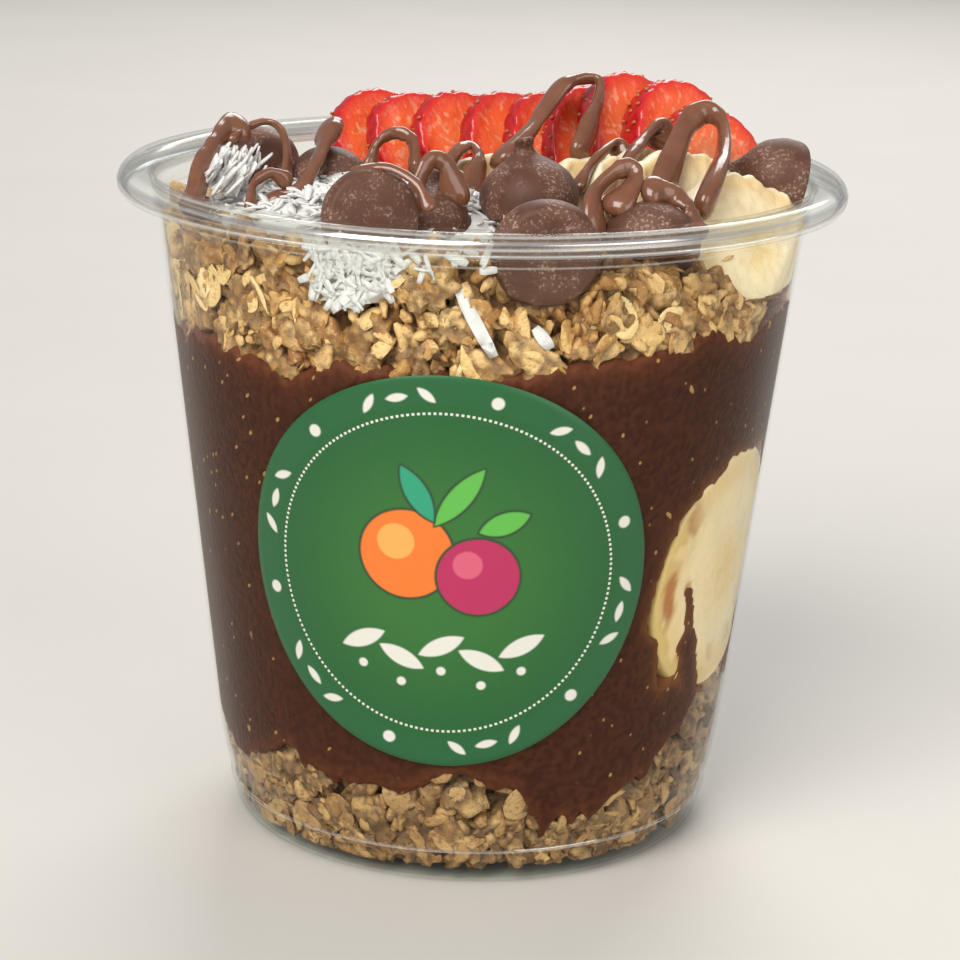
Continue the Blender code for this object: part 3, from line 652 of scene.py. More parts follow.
def spun(dice):
    """A random rotation."""
    turn = any_way(dice, "X") @ any_way(dice, "Z")
    return np.array(any_way(dice, "Y") @ turn)


ball_points, ball_faces = ball(2)
flat_points, flat_faces = ball(3)
lump_points, lump_faces = ball(4)


def puffed_grain(seed):
    """One puffed grain 1 long: a blunt oval, a little bent and lumpy, with a shallow seam."""
    points = lumpy(ball_points, seed, 0.32, 0.16) * (0.54, (0.3, 0.22, 0.26)[seed % 3], 0.21)
    points[:, 1] += (0.6, -0.4, 0.2)[seed % 3] * points[:, 0] ** 2
    points[:, 2] -= 0.06 * np.exp(-((points[:, 1] / 0.07) ** 2)) * (points[:, 2] > 0)
    return points


def small_flake(seed):
    """One small flake 1 long, thin and curled both ways."""
    points = lumpy(ball_points, seed + 40, 0.3, 0.14) * (0.5, (0.4, 0.3, 0.35)[seed % 3], 0.09)
    along, across = ((0.5, 0.4), (0.3, -0.5), (-0.4, 0.6))[seed % 3]
    points[:, 2] += along * points[:, 0] ** 2 + across * points[:, 1] ** 2
    return points


PUFFS = 18
FLAKES = 12
puffs = [puffed_grain(seed) for seed in range(PUFFS)]
flakes = [small_flake(seed) for seed in range(FLAKES)]


def rolled_oat(seed, dice):
    """A flattened oat 1 long: a thin, slightly curled oval with a ragged outline and a shallow crease."""
    around = np.arctan2(flat_points[:, 1], flat_points[:, 0])
    rim = [1 + 0.16 * rough_at(math.cos(a) * 1.5, math.sin(a) * 1.5, seed * 2.7) for a in around]
    wave = [0.035 * rough_at(p[0] * 1.8, p[1] * 1.8, seed * 3.3) for p in flat_points]
    points = flat_points * (0.5, dice.uniform(0.31, 0.38), 0.055) * np.stack([rim, rim, np.ones(len(rim))], 1)
    crease = 0.03 * np.exp(-((points[:, 1] / 0.06) ** 2))
    points[:, 2] += wave + dice.uniform(0.1, 0.4) * points[:, 0] ** 2 - crease
    return points, flat_faces


SKIN_GRAINS = 105
STUCK_ON = 4


def cluster(dice):
    """A baked lump 1 across: its skin is small oblong grains round seeds, with flakes and a puff stuck on."""
    seeds = np.array([[dice.gauss(0, 1) for _ in range(3)] for _ in range(SKIN_GRAINS)])
    seeds /= np.linalg.norm(seeds, axis=1)[:, None]
    grains = np.array([[dice.gauss(0, 1) for _ in range(3)] for _ in seeds])
    grains -= seeds * (grains * seeds).sum(1)[:, None]
    grains /= np.linalg.norm(grains, axis=1)[:, None]
    sizes = np.array([dice.uniform(0.75, 1.5) for _ in seeds])
    rises = np.array([dice.uniform(-0.03, 0.05) for _ in seeds])
    shades = np.array([dice.random() for _ in seeds])
    apart = lump_points[:, None, :] - seeds[None]
    along = (apart * grains[None]).sum(2)
    gaps = np.sqrt(np.maximum((apart ** 2).sum(2) - 0.68 * along ** 2, 0)) / sizes
    order = np.argsort(gaps, axis=1)
    rows = np.arange(len(lump_points))
    first, second = gaps[rows, order[:, 0]], gaps[rows, order[:, 1]]
    dome = np.clip((second - first) / 0.13, 0, 1) ** 0.6
    lobes = lumpy(lump_points, dice.randrange(99), 0.85, 0.3)
    lobes *= np.minimum(1, 1.2 / np.linalg.norm(lobes, axis=1))[:, None]
    points = lobes * (0.35 + 0.125 * dome + 1.3 * rises[order[:, 0]])[:, None]
    all_points, all_faces = [points], [tuple(face) for face in lump_faces.tolist()]
    tints = shades[order[:, 0]].tolist()
    # Points in the creases between grains or sunk below the lobes get painted shade.
    sunk = np.clip((0.98 - np.linalg.norm(lobes, axis=1)) / 0.3, 0, 1)
    hollows = np.clip(1.1 - (second - first) / 0.1 + 0.7 * sunk, 0, 1).tolist()
    for k in range(STUCK_ON):
        direction = Vector(seeds[k * 9])
        form = (flakes if k < STUCK_ON - 1 else puffs)[dice.randrange(FLAKES)] * dice.uniform(0.26, 0.44)
        out = 0.4 * float(np.linalg.norm(lobes[int(np.argmax(lump_points @ seeds[k * 9]))])) + 0.04
        lean = direction.to_track_quat("Z", "Y").to_matrix() @ any_way(dice, "Z")
        axes = np.array(lean @ about(dice.gauss(0, 0.5), "Y"))
        already = sum(map(len, all_points))
        all_faces += [tuple(face) for face in (ball_faces + already).tolist()]
        all_points.append(form @ axes.T + np.array(direction) * out)
        tints += [dice.random()] * len(form)
        hollows += [0.0] * len(form)
    return np.concatenate(all_points), all_faces, tints, np.array(hollows)


clusters = [cluster(OATS) for _ in range(16)]
loose_oats = [rolled_oat(seed, OATS) for seed in range(9)]


class Heap:
    """Pieces of one kind gathered into one mesh."""

    def __init__(self):
        self.points, self.faces, self.marks, self.count = [], [], {}, 0

    def add(self, points, faces, **marks):
        self.points.append(points)
        self.faces += [tuple(int(k) + self.count for k in face) for face in faces]
        self.count += len(points)
        for mark, values in marks.items():
            values = [values] * len(points) if np.isscalar(values) else list(values)
            self.marks.setdefault(mark, []).extend(values)

    def make(self, name, finish, slot):
        return make_piece(name, np.concatenate(self.points), self.faces, finish.material, slot, **self.marks)


# What presses on the wall in front of the granola, as (angle, height, radius): drops, coconut and banana.
PRESSED = [
    (11.3, 86.6, 6.8), (34.0, 88.0, 6.2), (-20.5, 90.6, 6.2), (-22.0, 83.5, 3.5), (58.0, 85.0, 6.5),
    (68.0, 84.0, 7.5),
]
WALL_MIDDLE = 43
STEP_BACK = 4.5


def pressed_in(angle, height, size):
    """How much further in a lump of a size stands where something else has the wall."""
    for where, middle, radius in PRESSED:
        across = math.radians((angle - where + 180) % 360 - 180) * WALL_MIDDLE
        if math.hypot(across, height - middle) < radius + 0.3 * size:
            return STEP_BACK
    return 0.0


def against_wall(points, gap):
    """Points outside the wall's inner face are pressed flat against it."""
    reach = np.hypot(points[:, 0], points[:, 1])
    most = wall_radius(points[:, 2]) - gap
    scale = np.minimum(1, most / np.maximum(reach, 1e-6))
    points[:, 0] *= scale
    points[:, 1] *= scale
    points[:, 2] = np.maximum(points[:, 2], 2.25)
    return points


def at_angle(angle, radius, height):
    turn = math.radians(angle)
    return np.array((radius * math.sin(turn), -radius * math.cos(turn), height))


def put_cluster(heap, angle, depth, height, size, press):
    """One cluster set depth inside the wall, pressed against it."""
    points, faces, tints, hollows = clusters[OATS.randrange(len(clusters))]
    turned = (points * size * (1.15, 1.0, OATS.uniform(0.8, 1.0))) @ spun(OATS).T
    spot = at_angle(angle, wall_radius(height) - depth, height)
    tones = np.array(tints) * 0.75 + 0.25 * OATS.random()
    heap.add(against_wall(turned + spot, press), faces, tint=tones, shade=0.8 * hollows)


def put_grain(heap, angle, depth, height):
    """One loose puffed grain, lying any way."""
    form = puffs[OATS.randrange(PUFFS)] * OATS.uniform(2.2, 4.0)
    spot = at_angle(angle, wall_radius(height) - depth, height)
    placed = against_wall(form @ spun(OATS).T + spot, OATS.uniform(0.0, 0.3))
    heap.add(placed, ball_faces, tint=OATS.random(), shade=0.0)


def put_oat(heap, angle, depth, height, length, flat, shade):
    """One loose rolled oat; flat runs from 0, standing any way, to 1, lying along the wall."""
    points, faces = loose_oats[OATS.randrange(len(loose_oats))]
    turn = math.radians(angle)
    out = Vector((math.sin(turn), -math.cos(turn), OATS.uniform(-0.3, 0.5)))
    stray = Vector((OATS.gauss(0, 1), OATS.gauss(0, 1), OATS.gauss(0, 1)))
    third = (out * flat + stray * (1 - flat)).normalized()
    first = third.orthogonal().normalized()
    axes = np.array(Matrix((first, third.cross(first), third)).transposed() @ any_way(OATS, "Z"))
    spot = at_angle(angle, wall_radius(height) - depth, height)
    heap.add(against_wall((points * length) @ axes.T + spot, 0.02), faces, tint=OATS.random(), shade=shade)


def top_height(angle):
    """Top of the upper granola at the wall: high at the front and left, low where fruit stands in it."""
    angle = (angle + 180) % 360 - 180
    fruit = smooth((angle - 12) / 30) * smooth((150 - angle) / 30)
    side = smooth((-angle - 50) / 20)
    back = smooth((angle - 100) / 50)
    return 86.0 - 4.5 * fruit - 2.4 * side - 1.5 * back


def baked_finish(name, pale, mid, brown, deep):
    """Toasted oats: each grain its own tone under thin syrup, painted shade in its hollows, pale where floury.
    """
    baked = Finish(name, Specular_IOR_Level=0.5)
    fine = baked.grain(0.7, 2.0, 0.65)
    broad = baked.grain(3.5, 2.0)
    tone = baked.ramp(baked.mark("tint") * 0.85 + broad * 0.6 - 0.22, (0.05, brown), (0.38, mid), (0.8, pale))
    tone = baked.mix(baked.step(fine, 0.47, 0.3) * 0.7, tone, brown)
    tone = baked.mix(baked.step(fine, 0.55, 0.7) * 0.5, tone, pale)
    tone = baked.mix(baked.mark("shade"), tone, deep)
    baked.show(Base_Color=tone, Roughness=0.33 + 0.3 * broad, Normal=baked.bump(fine, 0.36, 0.9))
    return baked


toasted = baked_finish(
    "granola_toasted", (0.83, 0.545, 0.235), (0.55, 0.29, 0.09), (0.32, 0.133, 0.034), (0.1, 0.038, 0.011),
)
# The lower layer's granola: the toasted palette made darker.
lower_darker = baked_finish(
    "granola_dusty", (0.55, 0.34, 0.135), (0.34, 0.177, 0.06), (0.185, 0.084, 0.027), (0.045, 0.018, 0.007),
)
rolled = baked_finish(
    "oat_flake", (0.9, 0.68, 0.34), (0.82, 0.55, 0.22), (0.66, 0.38, 0.12), (0.36, 0.18, 0.06),
)


def granola_core(name, low, high, finish, inset, node):
    """The crumbly heap behind the clusters: a lumpy layer from low(angle) to high(angle, share)."""
    points, tints = [], []
    steps = 200
    rows = [(0.0, 0.0), (0.5, 0.0)] + [(1.0, climb) for climb in np.linspace(0, 1, 14)]
    rows += [(share, 1.0) for share in (0.93, 0.84, 0.72, 0.6, 0.45, 0.3, 0.15, 0.0)]
    for share, climb in rows:
        for k in range(steps):
            angle = 360 * k / steps
            bottom, top = low(angle), high(angle, share)
            height = bottom + (top - bottom) * climb
            x, y, _ = at_angle(angle, (wall_radius(height) - inset) * share, height)
            lump = rough_at(x / 2.3, y / 2.3, height / 2.3) + 0.5 * rough_at(x, y, height)
            scale = 1 + 0.035 * lump * (share > 0.99)
            rise = 1.5 * lump * (0 < climb) * (share < 0.99)
            points.append((x * scale, y * scale, height + rise))
            tints.append(0.3 + 0.4 * lump)
    faces = ring_faces(len(rows), steps)
    # The whole heap gets painted shade, as it lies behind the clusters.
    core = make_piece(name, points, faces, finish.material, "granola", tint=tints, shade=[0.8] * len(points))
    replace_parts(core, node)


def top_of_heap(angle, share):
    """The upper granola's own top, from the middle of the cup to the wall."""
    return 84 + (top_height(angle) - 84) * share ** 2


def top_of_bed(angle, share):
    """The lower granola's top under the smoothie."""
    return 15 + (round_the_cup(LOWER_EDGE, angle) - 15) * share ** 3 - 0.4


granola_core(
    "granola_top_core", lambda angle: round_the_cup(UPPER_EDGE, angle) - 0.8,
    lambda angle, share: top_of_heap(angle, share) - 0.8, toasted, 5.2, "granola_top",
)
granola_core("granola_bottom_core", lambda angle: 2.4, top_of_bed, lower_darker, 5.0, "granola_bottom")

upper, upper_oats, upper_grains = Heap(), Heap(), Heap()
for row, (count, climb) in enumerate(((37, 0.16), (36, 0.5), (37, 0.84))):
    for k in range(count):
        angle = 360 * (k + 0.5 * (row % 2)) / count + OATS.uniform(-1.6, 1.6)
        floor = round_the_cup(UPPER_EDGE, angle)
        size = OATS.uniform(7.6, 12.0)
        height = floor + (top_height(angle) - floor) * climb + OATS.uniform(-0.8, 0.8)
        height = min(height, top_height(angle) + 0.5 - size * 0.3)
        depth = size * OATS.uniform(0.37, 0.48) + pressed_in(angle, height, size)
        put_cluster(upper, angle, depth, height, size, OATS.uniform(-0.02, 0.3))
for k in range(60):
    angle = OATS.uniform(-180, 180)
    floor = round_the_cup(UPPER_EDGE, angle)
    height = OATS.uniform(floor + 0.6, top_height(angle) - 0.3)
    length = OATS.uniform(4.0, 6.6)
    if not pressed_in(angle, height, length):
        put_oat(upper_oats, angle, OATS.uniform(0.3, 1.6), height, length, OATS.uniform(0.2, 0.9), 0.0)
for k in range(10):
    angle = 180 + OATS.uniform(-75, 75)
    share = OATS.uniform(0.35, 0.85)
    size = OATS.uniform(6, 9)
    depth = WALL_MIDDLE * (1 - share)
    put_cluster(upper, angle, depth, top_of_heap(angle, share) - 0.9, size, 0.3)
for k in range(750):
    angle = OATS.uniform(-180, 180)
    height = OATS.uniform(round_the_cup(UPPER_EDGE, angle) - 0.8, top_height(angle) - 0.6)
    put_grain(upper_grains, angle, OATS.uniform(0.3, 3.2) + pressed_in(angle, height, 3), height)
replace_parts(upper_grains.make("granola_top_grains", toasted, "granola"), "granola_top")
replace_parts(upper.make("granola_top_clusters", toasted, "granola"), "granola_top")
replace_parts(upper_oats.make("granola_top_oats", rolled, "granola"), "granola_top")

lower, lower_oats, lower_grains = Heap(), Heap(), Heap()
for row, (count, climb) in enumerate(((29, 0.14), (27, 0.45), (29, 0.83))):
    for k in range(count):
        angle = 360 * (k + 0.5 * (row % 2)) / count + OATS.uniform(-1.8, 1.8)
        ceiling = round_the_cup(LOWER_EDGE, angle)
        size = OATS.uniform(7.2, 11.0)
        height = 3.4 + (ceiling - 3.4) * climb + OATS.uniform(-0.6, 0.6)
        put_cluster(lower, angle, size * OATS.uniform(0.36, 0.48), height, size, OATS.uniform(0.0, 0.3))
for k in range(34):
    angle = OATS.uniform(-180, 180)
    height = OATS.uniform(3.5, round_the_cup(LOWER_EDGE, angle) + 0.5)
    depth = OATS.uniform(0.3, 1.4)
    # The lower oats carry a little painted shade.
    put_oat(lower_oats, angle, depth, height, OATS.uniform(4.5, 7.5), OATS.uniform(0.2, 0.9), 0.15)
for k in range(440):
    angle = OATS.uniform(-180, 180)
    height = OATS.uniform(3.2, round_the_cup(LOWER_EDGE, angle) + 0.6)
    put_grain(lower_grains, angle, OATS.uniform(0.3, 3.0), height)
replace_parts(lower_grains.make("granola_bottom_grains", lower_darker, "granola"), "granola_bottom")
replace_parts(lower.make("granola_bottom_clusters", lower_darker, "granola"), "granola_bottom")
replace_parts(lower_oats.make("granola_bottom_oats", lower_darker, "granola"), "granola_bottom")


# ---------------------------------------------------------------- the coconut
# Shredded coconut heaped over the left half and pressed against the wall at the front: fine white strips
# lying every way over a loose white mound, a few of them fallen down the granola.

SHREDS = random.Random(5)

shredded = Finish("coconut_white", Roughness=0.5, Specular_IOR_Level=0.4)
strand_tone = shredded.grain(0.9, 2.0)
shredded.show(
    Base_Color=shredded.mix(strand_tone, (0.66, 0.65, 0.62), (0.87, 0.865, 0.85)),
    Normal=shredded.bump(shredded.grain(0.5, 2.0), 0.12),
)


def mound_point(turn, share):
    """A point of the coconut mound's skin, share running from its foot to its top."""
    ups = (0, 0, 0.1, 0.45, 0.75, 0.93, 1, 1)
    outs = (0, 0.55, 0.9, 1, 0.86, 0.6, 0.32, 0)
    step = share * 7
    x = -17 + 21.0 * np.interp(step, range(8), outs) * math.cos(turn)
    y = -14 + (29.0 if math.sin(turn) < 0 else 21.0) * np.interp(step, range(8), outs) * math.sin(turn)
    low = 82.5 - 3.0 * smooth((-22 - y) / 16)
    lump = 0.7 * rough_at(x / 5, y / 5, 2)
    top = 89.6 + 0.9 * math.cos(turn * 3) - 2.6 * smooth((-24 - y) / 16)
    z = low + (top - low) * np.interp(step, range(8), ups) + lump
    wall = wall_radius(z) + (-0.5 if -28.5 < math.degrees(math.atan2(x, -y)) < -14.5 else -4.0)
    scale = min(1.0, wall / max(1.0, math.hypot(x, y)))
    return np.array((x * scale, y * scale, z))


MOUND_ROWS = 29
MOUND_STEPS = 90
mound_points = []
for row in range(MOUND_ROWS):
    for k in range(MOUND_STEPS):
        point = mound_point(2 * math.pi * k / MOUND_STEPS, row / (MOUND_ROWS - 1))
        away = noise.noise(Vector(point / 1.4)) + 0.6 * noise.noise(Vector(point / 0.7))
        middle = np.array((-17, -14, 85))
        direction = (point - middle) / max(1.0, np.linalg.norm(point - middle))
        mound_points.append(point + direction * (0.55 * away - 0.5))
mound_faces = ring_faces(MOUND_ROWS, MOUND_STEPS)
mound = make_piece("coconut_mound", mound_points, mound_faces, shredded.material, "coconut")
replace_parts(mound, "coconut")


def shred(length, width, thick, bend, twist, taper=0.5):
    """A grated strip: a thin bar that bends and twists along its length and narrows to its ends."""
    stations = 6
    points = []
    for k in range(stations):
        share = k / (stations - 1) - 0.5
        narrow = 1 - taper * abs(2 * share) ** 3
        turn = twist * share
        for u, v in ((-1, -1), (1, -1), (1, 1), (-1, 1)):
            y, z = u * width / 2 * narrow, v * thick / 2 * narrow
            y, z = y * math.cos(turn) - z * math.sin(turn), y * math.sin(turn) + z * math.cos(turn)
            points.append((share * length, y + bend * (4 * share * share - 0.3), z + 0.4 * bend * share))
    faces = [(0, 3, 2, 1), tuple(4 * (stations - 1) + k for k in range(4))]
    return np.array(points), faces + ring_faces(stations, 4)


def put_shred(strip, axes, spot, gap):
    """One strip turned by axes and set at spot, kept inside the wall."""
    points, faces = strip
    shreds.add(against_wall(points @ np.array(axes).T + spot, gap), faces)


between, near = SHREDS.uniform, SHREDS.gauss
shreds = Heap()
for k in range(1700):
    spot = mound_point(between(0, 6.2832), 0.3 + 0.7 * math.sqrt(SHREDS.random()))
    if spot[2] < 88.5 and math.hypot(spot[0], spot[1]) > wall_radius(spot[2]) - 4.4:
        continue
    spot[2] += between(-0.3, 0.6)
    wide = between(0.4, 1.2)
    strip = shred(between(1.5, 3.8), wide, between(0.22, 0.4), near(0, 0.25), near(0, 0.5))
    tilt = about(near(0, 0.3), "X") @ about(near(0, 0.3), "Y")
    put_shred(strip, tilt @ any_way(SHREDS, "Z"), spot, 0.02)
for k in range(260):
    spot = np.array((-33.4, -11.5, 90.6)) + (near(0, 1.6), near(0, 3.0), abs(near(0, 1.5)))
    strip = shred(between(2.0, 3.6), between(0.7, 1.4), 0.35, near(0, 0.2), near(0, 0.4), 0.25)
    put_shred(strip, about(near(0.3, 0.25), "X") @ about(near(-1.0, 0.25), "Y"), spot, 0.02)
for k in range(150):
    packed = k < 135
    angle = between(-29, -15) if packed else between(-15, 2)
    low = 79.4 + 3.0 * abs(angle + 24) / 8
    height = between(low, 87.6) if packed else 88 - 3.6 * SHREDS.random() ** 1.5
    wide = between(0.4, 1.1)
    strip = shred(between(1.8, 4.6), 0.14, wide, near(0, 0.2), near(0, 0.2), 0.3)
    axes = about(math.radians(angle), "Z") @ about(between(-1.57, 1.57), "Y")
    put_shred(strip, axes, at_angle(angle, wall_radius(height) - between(0.0, 0.5), height), -0.03)
for angle, height, tilt, length, wide in (
    (-0.3, 78.6, 1.1, 9.4, 1.7), (-23, 80.6, -0.7, 5, 1.3), (11, 76.8, 1.0, 3.4, 1.6),
):
    axes = about(math.radians(angle), "Z") @ about(tilt, "Y")
    spot = at_angle(angle, wall_radius(height), height)
    put_shred(shred(length, 0.25, wide, 0.8, 0.4, 0.34), axes, spot, -0.05)
coconut = shreds.make("coconut_shreds", shredded, "coconut")
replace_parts(coconut, "coconut")


# ---------------------------------------------------------------- the chocolate drops
# Moulded dark chocolate drops with a flat foot, a full shoulder and a drawn-out tip, which bends over on
# most. They are matt, a little scuffed, with a pale dusting of sugar bloom.

DROP_PROFILE = rounded([
    (0.004, 0.0), (0.84, 0.0), (0.96, 0.03), (1.02, 0.16), (1.0, 0.32), (0.89, 0.48), (0.7, 0.6),
    (0.46, 0.69), (0.27, 0.77), (0.19, 0.85), (0.2, 0.92), (0.18, 0.98), (0.09, 1.01), (0.004, 1.0),
], 2)

# Each drop: its foot's radius, its height, where its foot's middle is, which way its tip points, and how
# the tip bends.
DROPS = {
    "drop_front_wall": (6.8, 9.6, (8.3, -41.4, 86.7), (-0.16, 0.97, 0.2), 0.1),
    "drop_front_left": (6.2, 9.6, (-13.2, -35.4, 90.1), (-0.34, 0.92, -0.14), 0.1),
    "drop_left_mid": (5.8, 9.2, (-7.2, -24.4, 85.6), (0.1, 0.2, 0.97), 0.2),
    "drop_kiss": (6.4, 10.4, (6.4, -18.6, 87.9), (-0.16, 0.1, 0.98), -0.28),
    "drop_front_right": (6.2, 9.6, (21.2, -31.6, 85.3), (0.1, 0.5, 0.85), 0.15),
    "drop_right_rim": (5.6, 11.6, (42.6, -3.4, 90.3), (-0.97, -0.1, 0.2), 0.15),
    "drop_back_left": (5.1, 9.2, (-30.0, 4.8, 90.2), (-0.1, -0.97, -0.1), 0.1),
    "drop_left_inner": (5.5, 9.2, (-20.8, -4.0, 88.4), (0.1, -0.96, 0.1), 0.1),
}


def frame_of(normal, spin=0.0):
    """A rotation whose third axis is normal and whose second is as upright as it can be, spun about it."""
    third = Vector(normal).normalized()
    up = Vector((0, 0, 1)) if abs(third.z) < 0.95 else Vector((0, 1, 0))
    second = (up - third * up.dot(third)).normalized()
    axes = Matrix((second.cross(third), second, third)).transposed()
    return np.array(axes @ about(math.radians(spin), "Z"))


dark_chocolate = Finish("dark_chocolate", Specular_IOR_Level=0.32)
scuff = dark_chocolate.grain(2.6, 4.0, 0.65)
bloom = dark_chocolate.grain(0.42, 2.0, 0.6)
patch = dark_chocolate.grain(4.2, 1.0)
tone = dark_chocolate.mix(scuff, (0.062, 0.0235, 0.0125), (0.142, 0.06, 0.036))
dust = dark_chocolate.step(bloom, 0.53, 0.66) * dark_chocolate.step(patch, 0.38, 0.6)
tone = dark_chocolate.mix(dark_chocolate.step(patch, 0.4, 0.66) * 0.35, tone, (0.22, 0.116, 0.08))
tone = dark_chocolate.mix(dust * 0.6, tone, (0.5, 0.34, 0.26))
dark_chocolate.show(
    Base_Color=tone, Roughness=0.44 + 0.22 * scuff, Normal=dark_chocolate.bump(scuff, 0.14, 0.7),
)
for number, (name, (radius, height, foot, tip, bend)) in enumerate(DROPS.items()):
    profile = DROP_PROFILE * (radius, height)
    points, faces = turned_about_z(profile, 72, False)
    share = np.clip(points[:, 2] / height, 0, 1)
    points[:, 0] += bend * radius * np.clip((share - 0.72) / 0.28, 0, 1) ** 1.6
    points[:, 2] -= abs(bend) * 0.9 * np.clip((share - 0.85) / 0.15, 0, 1) ** 2
    for k, point in enumerate(points):
        dent = noise.noise(Vector(point / 4.0) + Vector((number * 9.1, 0, 0)))
        dent += 0.3 * noise.noise(Vector(point / 1.3) + Vector((number, 3, 0)))
        points[k] += np.array((point[0], point[1], 0)) / radius * 0.22 * dent
    placed = points @ frame_of(tip, 37 * number).T + foot
    placed = against_wall(placed, 0.02) if name == "drop_front_wall" else placed
    drop = make_piece("chocolate_" + name, placed, faces, dark_chocolate.material, "chocolate")
    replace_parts(drop, name)


# ---------------------------------------------------------------- the fan of banana
# Ripe banana cut into round slices and fanned from the middle to the right wall. They stand in the granola
# with their upper edges a little torn, pale cream and slightly glassy.

BANANA_LEAN = Vector((0.5, -0.7, 0.5)).normalized()
BANANA_THICK = 4.5
BANANAS = [
    ((2.6, 0.2, 81.3), 11.6, -3),
    ((17.0, -4.6, 82.4), 11.6, 0),
    ((22.8, -7.8, 83.8), 11.6, 0),
    ((27.8, -11.2, 84.8), 11.4, 0),
    ((34.8, -15.4, 83.2), 10.6, 3),
]
BANANA_STEPS = 110
slice_rows = [(k / 18 * 0.9, 1.0) for k in range(19)]
slice_rows += [(0.94, 0.985), (0.975, 0.93), (0.995, 0.83), (1.0, 0.7)]
slice_rows += [(1.0, 0.3), (0.975, 0.07), (0.9, 0.0), (0.4, 0.0)]
for number, (centre, size, extra) in enumerate(BANANAS):
    lean = about(math.radians(extra), "Z") @ BANANA_LEAN
    axes = frame_of(lean, 40 * extra)
    points, reaches = [], []
    for share, depth in slice_rows:
        for k in range(BANANA_STEPS):
            turn = 2 * math.pi * k / BANANA_STEPS
            ring = Vector((math.cos(turn) * 2.2, math.sin(turn) * 2.2, number * 5.0))
            torn = noise.noise(ring) + 0.7 * noise.noise(ring * 2.3)
            out = size * share * (1 + 0.03 * math.cos(3 * turn) + 0.085 * torn * share ** 4)
            x, y = out * math.cos(turn), out * math.sin(turn)
            dip = rough_at(x / 3.5, y / 3.5, number) + 0.5 * rough_at(x / 1.2, y / 1.2, number)
            ragged_edge = 0.9 * share ** 3 * rough_at(x / 1.6, y / 1.6, depth * 2 + number)
            z = (depth - 0.5) * BANANA_THICK + (0.3 * dip + ragged_edge) * (1 if depth > 0.5 else -1)
            points.append((x, y, z))
            reaches.append(share)
    placed = np.array(points) @ axes.T + centre
    placed[:, 2] = np.maximum(placed[:, 2], 78.4)
    placed = against_wall(placed, -0.03)
    faces = ring_faces(len(slice_rows), BANANA_STEPS, flipped=True, tip=True)
    banana = make_piece(
        f"fan_banana_{number + 1}", placed, faces, flesh.material, "banana",
        reach=reaches, stain=[0.0] * len(points), film=[0.0] * len(points),
    )
    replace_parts(banana, f"banana_slice_{number + 1}")


# ---------------------------------------------------------------- the fan of strawberry
# Ripe strawberries cut lengthwise and fanned behind the banana. The cut face is wet orange-red with pale
# veins running out to the skin, and the skin is deep red, glossy and dimpled, with a seed in each dimple.

BERRY_LEAN = (0.52, -0.74, 0.42)
BERRY_THICK = 3.4
BERRY_DEEP = 4.8
BERRIES = [
    ((-14.6, 23.4, 88.2), 15.5, 19.0, 10),
    ((-9.2, 21.4, 88.6), 15.5, 18.5, 14),
    ((-2.6, 19.4, 88.8), 16.5, 19.0, 20),
    ((4.0, 17.4, 89.0), 16.0, 19.5, 26),
    ((9.6, 14.8, 89.6), 15.5, 19.5, 30),
    ((15.2, 12.6, 90.4), 16.0, 20.0, 32),
    ((21.0, 10.6, 92.6), 17.0, 20.5, 34),
    ((27.0, 8.4, 92.0), 17.0, 20.5, 36),
    ((30.6, 3.8, 90.2), 15.5, 19.0, 38),
]

cut = Finish(
    "strawberry_cut", Roughness=0.26, Specular_IOR_Level=0.5, Subsurface_Weight=0.2, Subsurface_Scale=0.5,
    Subsurface_Radius=(0.005, 0.001, 0.0006), Coat_Weight=0.25, Coat_Roughness=0.12,
)
out = cut.mark("reach")
vein_place = cut.node("CombineXYZ", {}, {0: cut.mark("vein_x"), 1: cut.mark("vein_y"), 2: out * 0.9})
veins = cut.node("TexNoise", {}, {"Vector": vein_place, "Scale": 1.0, "Detail": 2.0, "Roughness": 0.5})
wet = cut.grain(1.4, 3.0)
face_tone = cut.ramp(
    out, (0.0, (0.92, 0.42, 0.2)), (0.3, (0.92, 0.25, 0.085)), (0.72, (0.9, 0.13, 0.035)),
    (0.97, (0.66, 0.022, 0.012)),
)
face_tone = cut.mix(cut.step(veins, 0.52, 0.68) * cut.step(out, 1.0, 0.6) * 0.7, face_tone, (0.95, 0.5, 0.3))
face_tone = cut.mix(cut.step(wet, 0.6, 0.8) * 0.35, face_tone, (0.88, 0.3, 0.2))
# Darker in the dimples: painted shade in the pits of the skin.
skin_tone = cut.mix(cut.mark("dimple"), (0.5, 0.008, 0.012), (0.3, 0.004, 0.008))
face_tone = cut.mix(cut.mark("skin"), face_tone, skin_tone)
cut.show(Base_Color=face_tone, Normal=cut.bump(wet, 0.25))

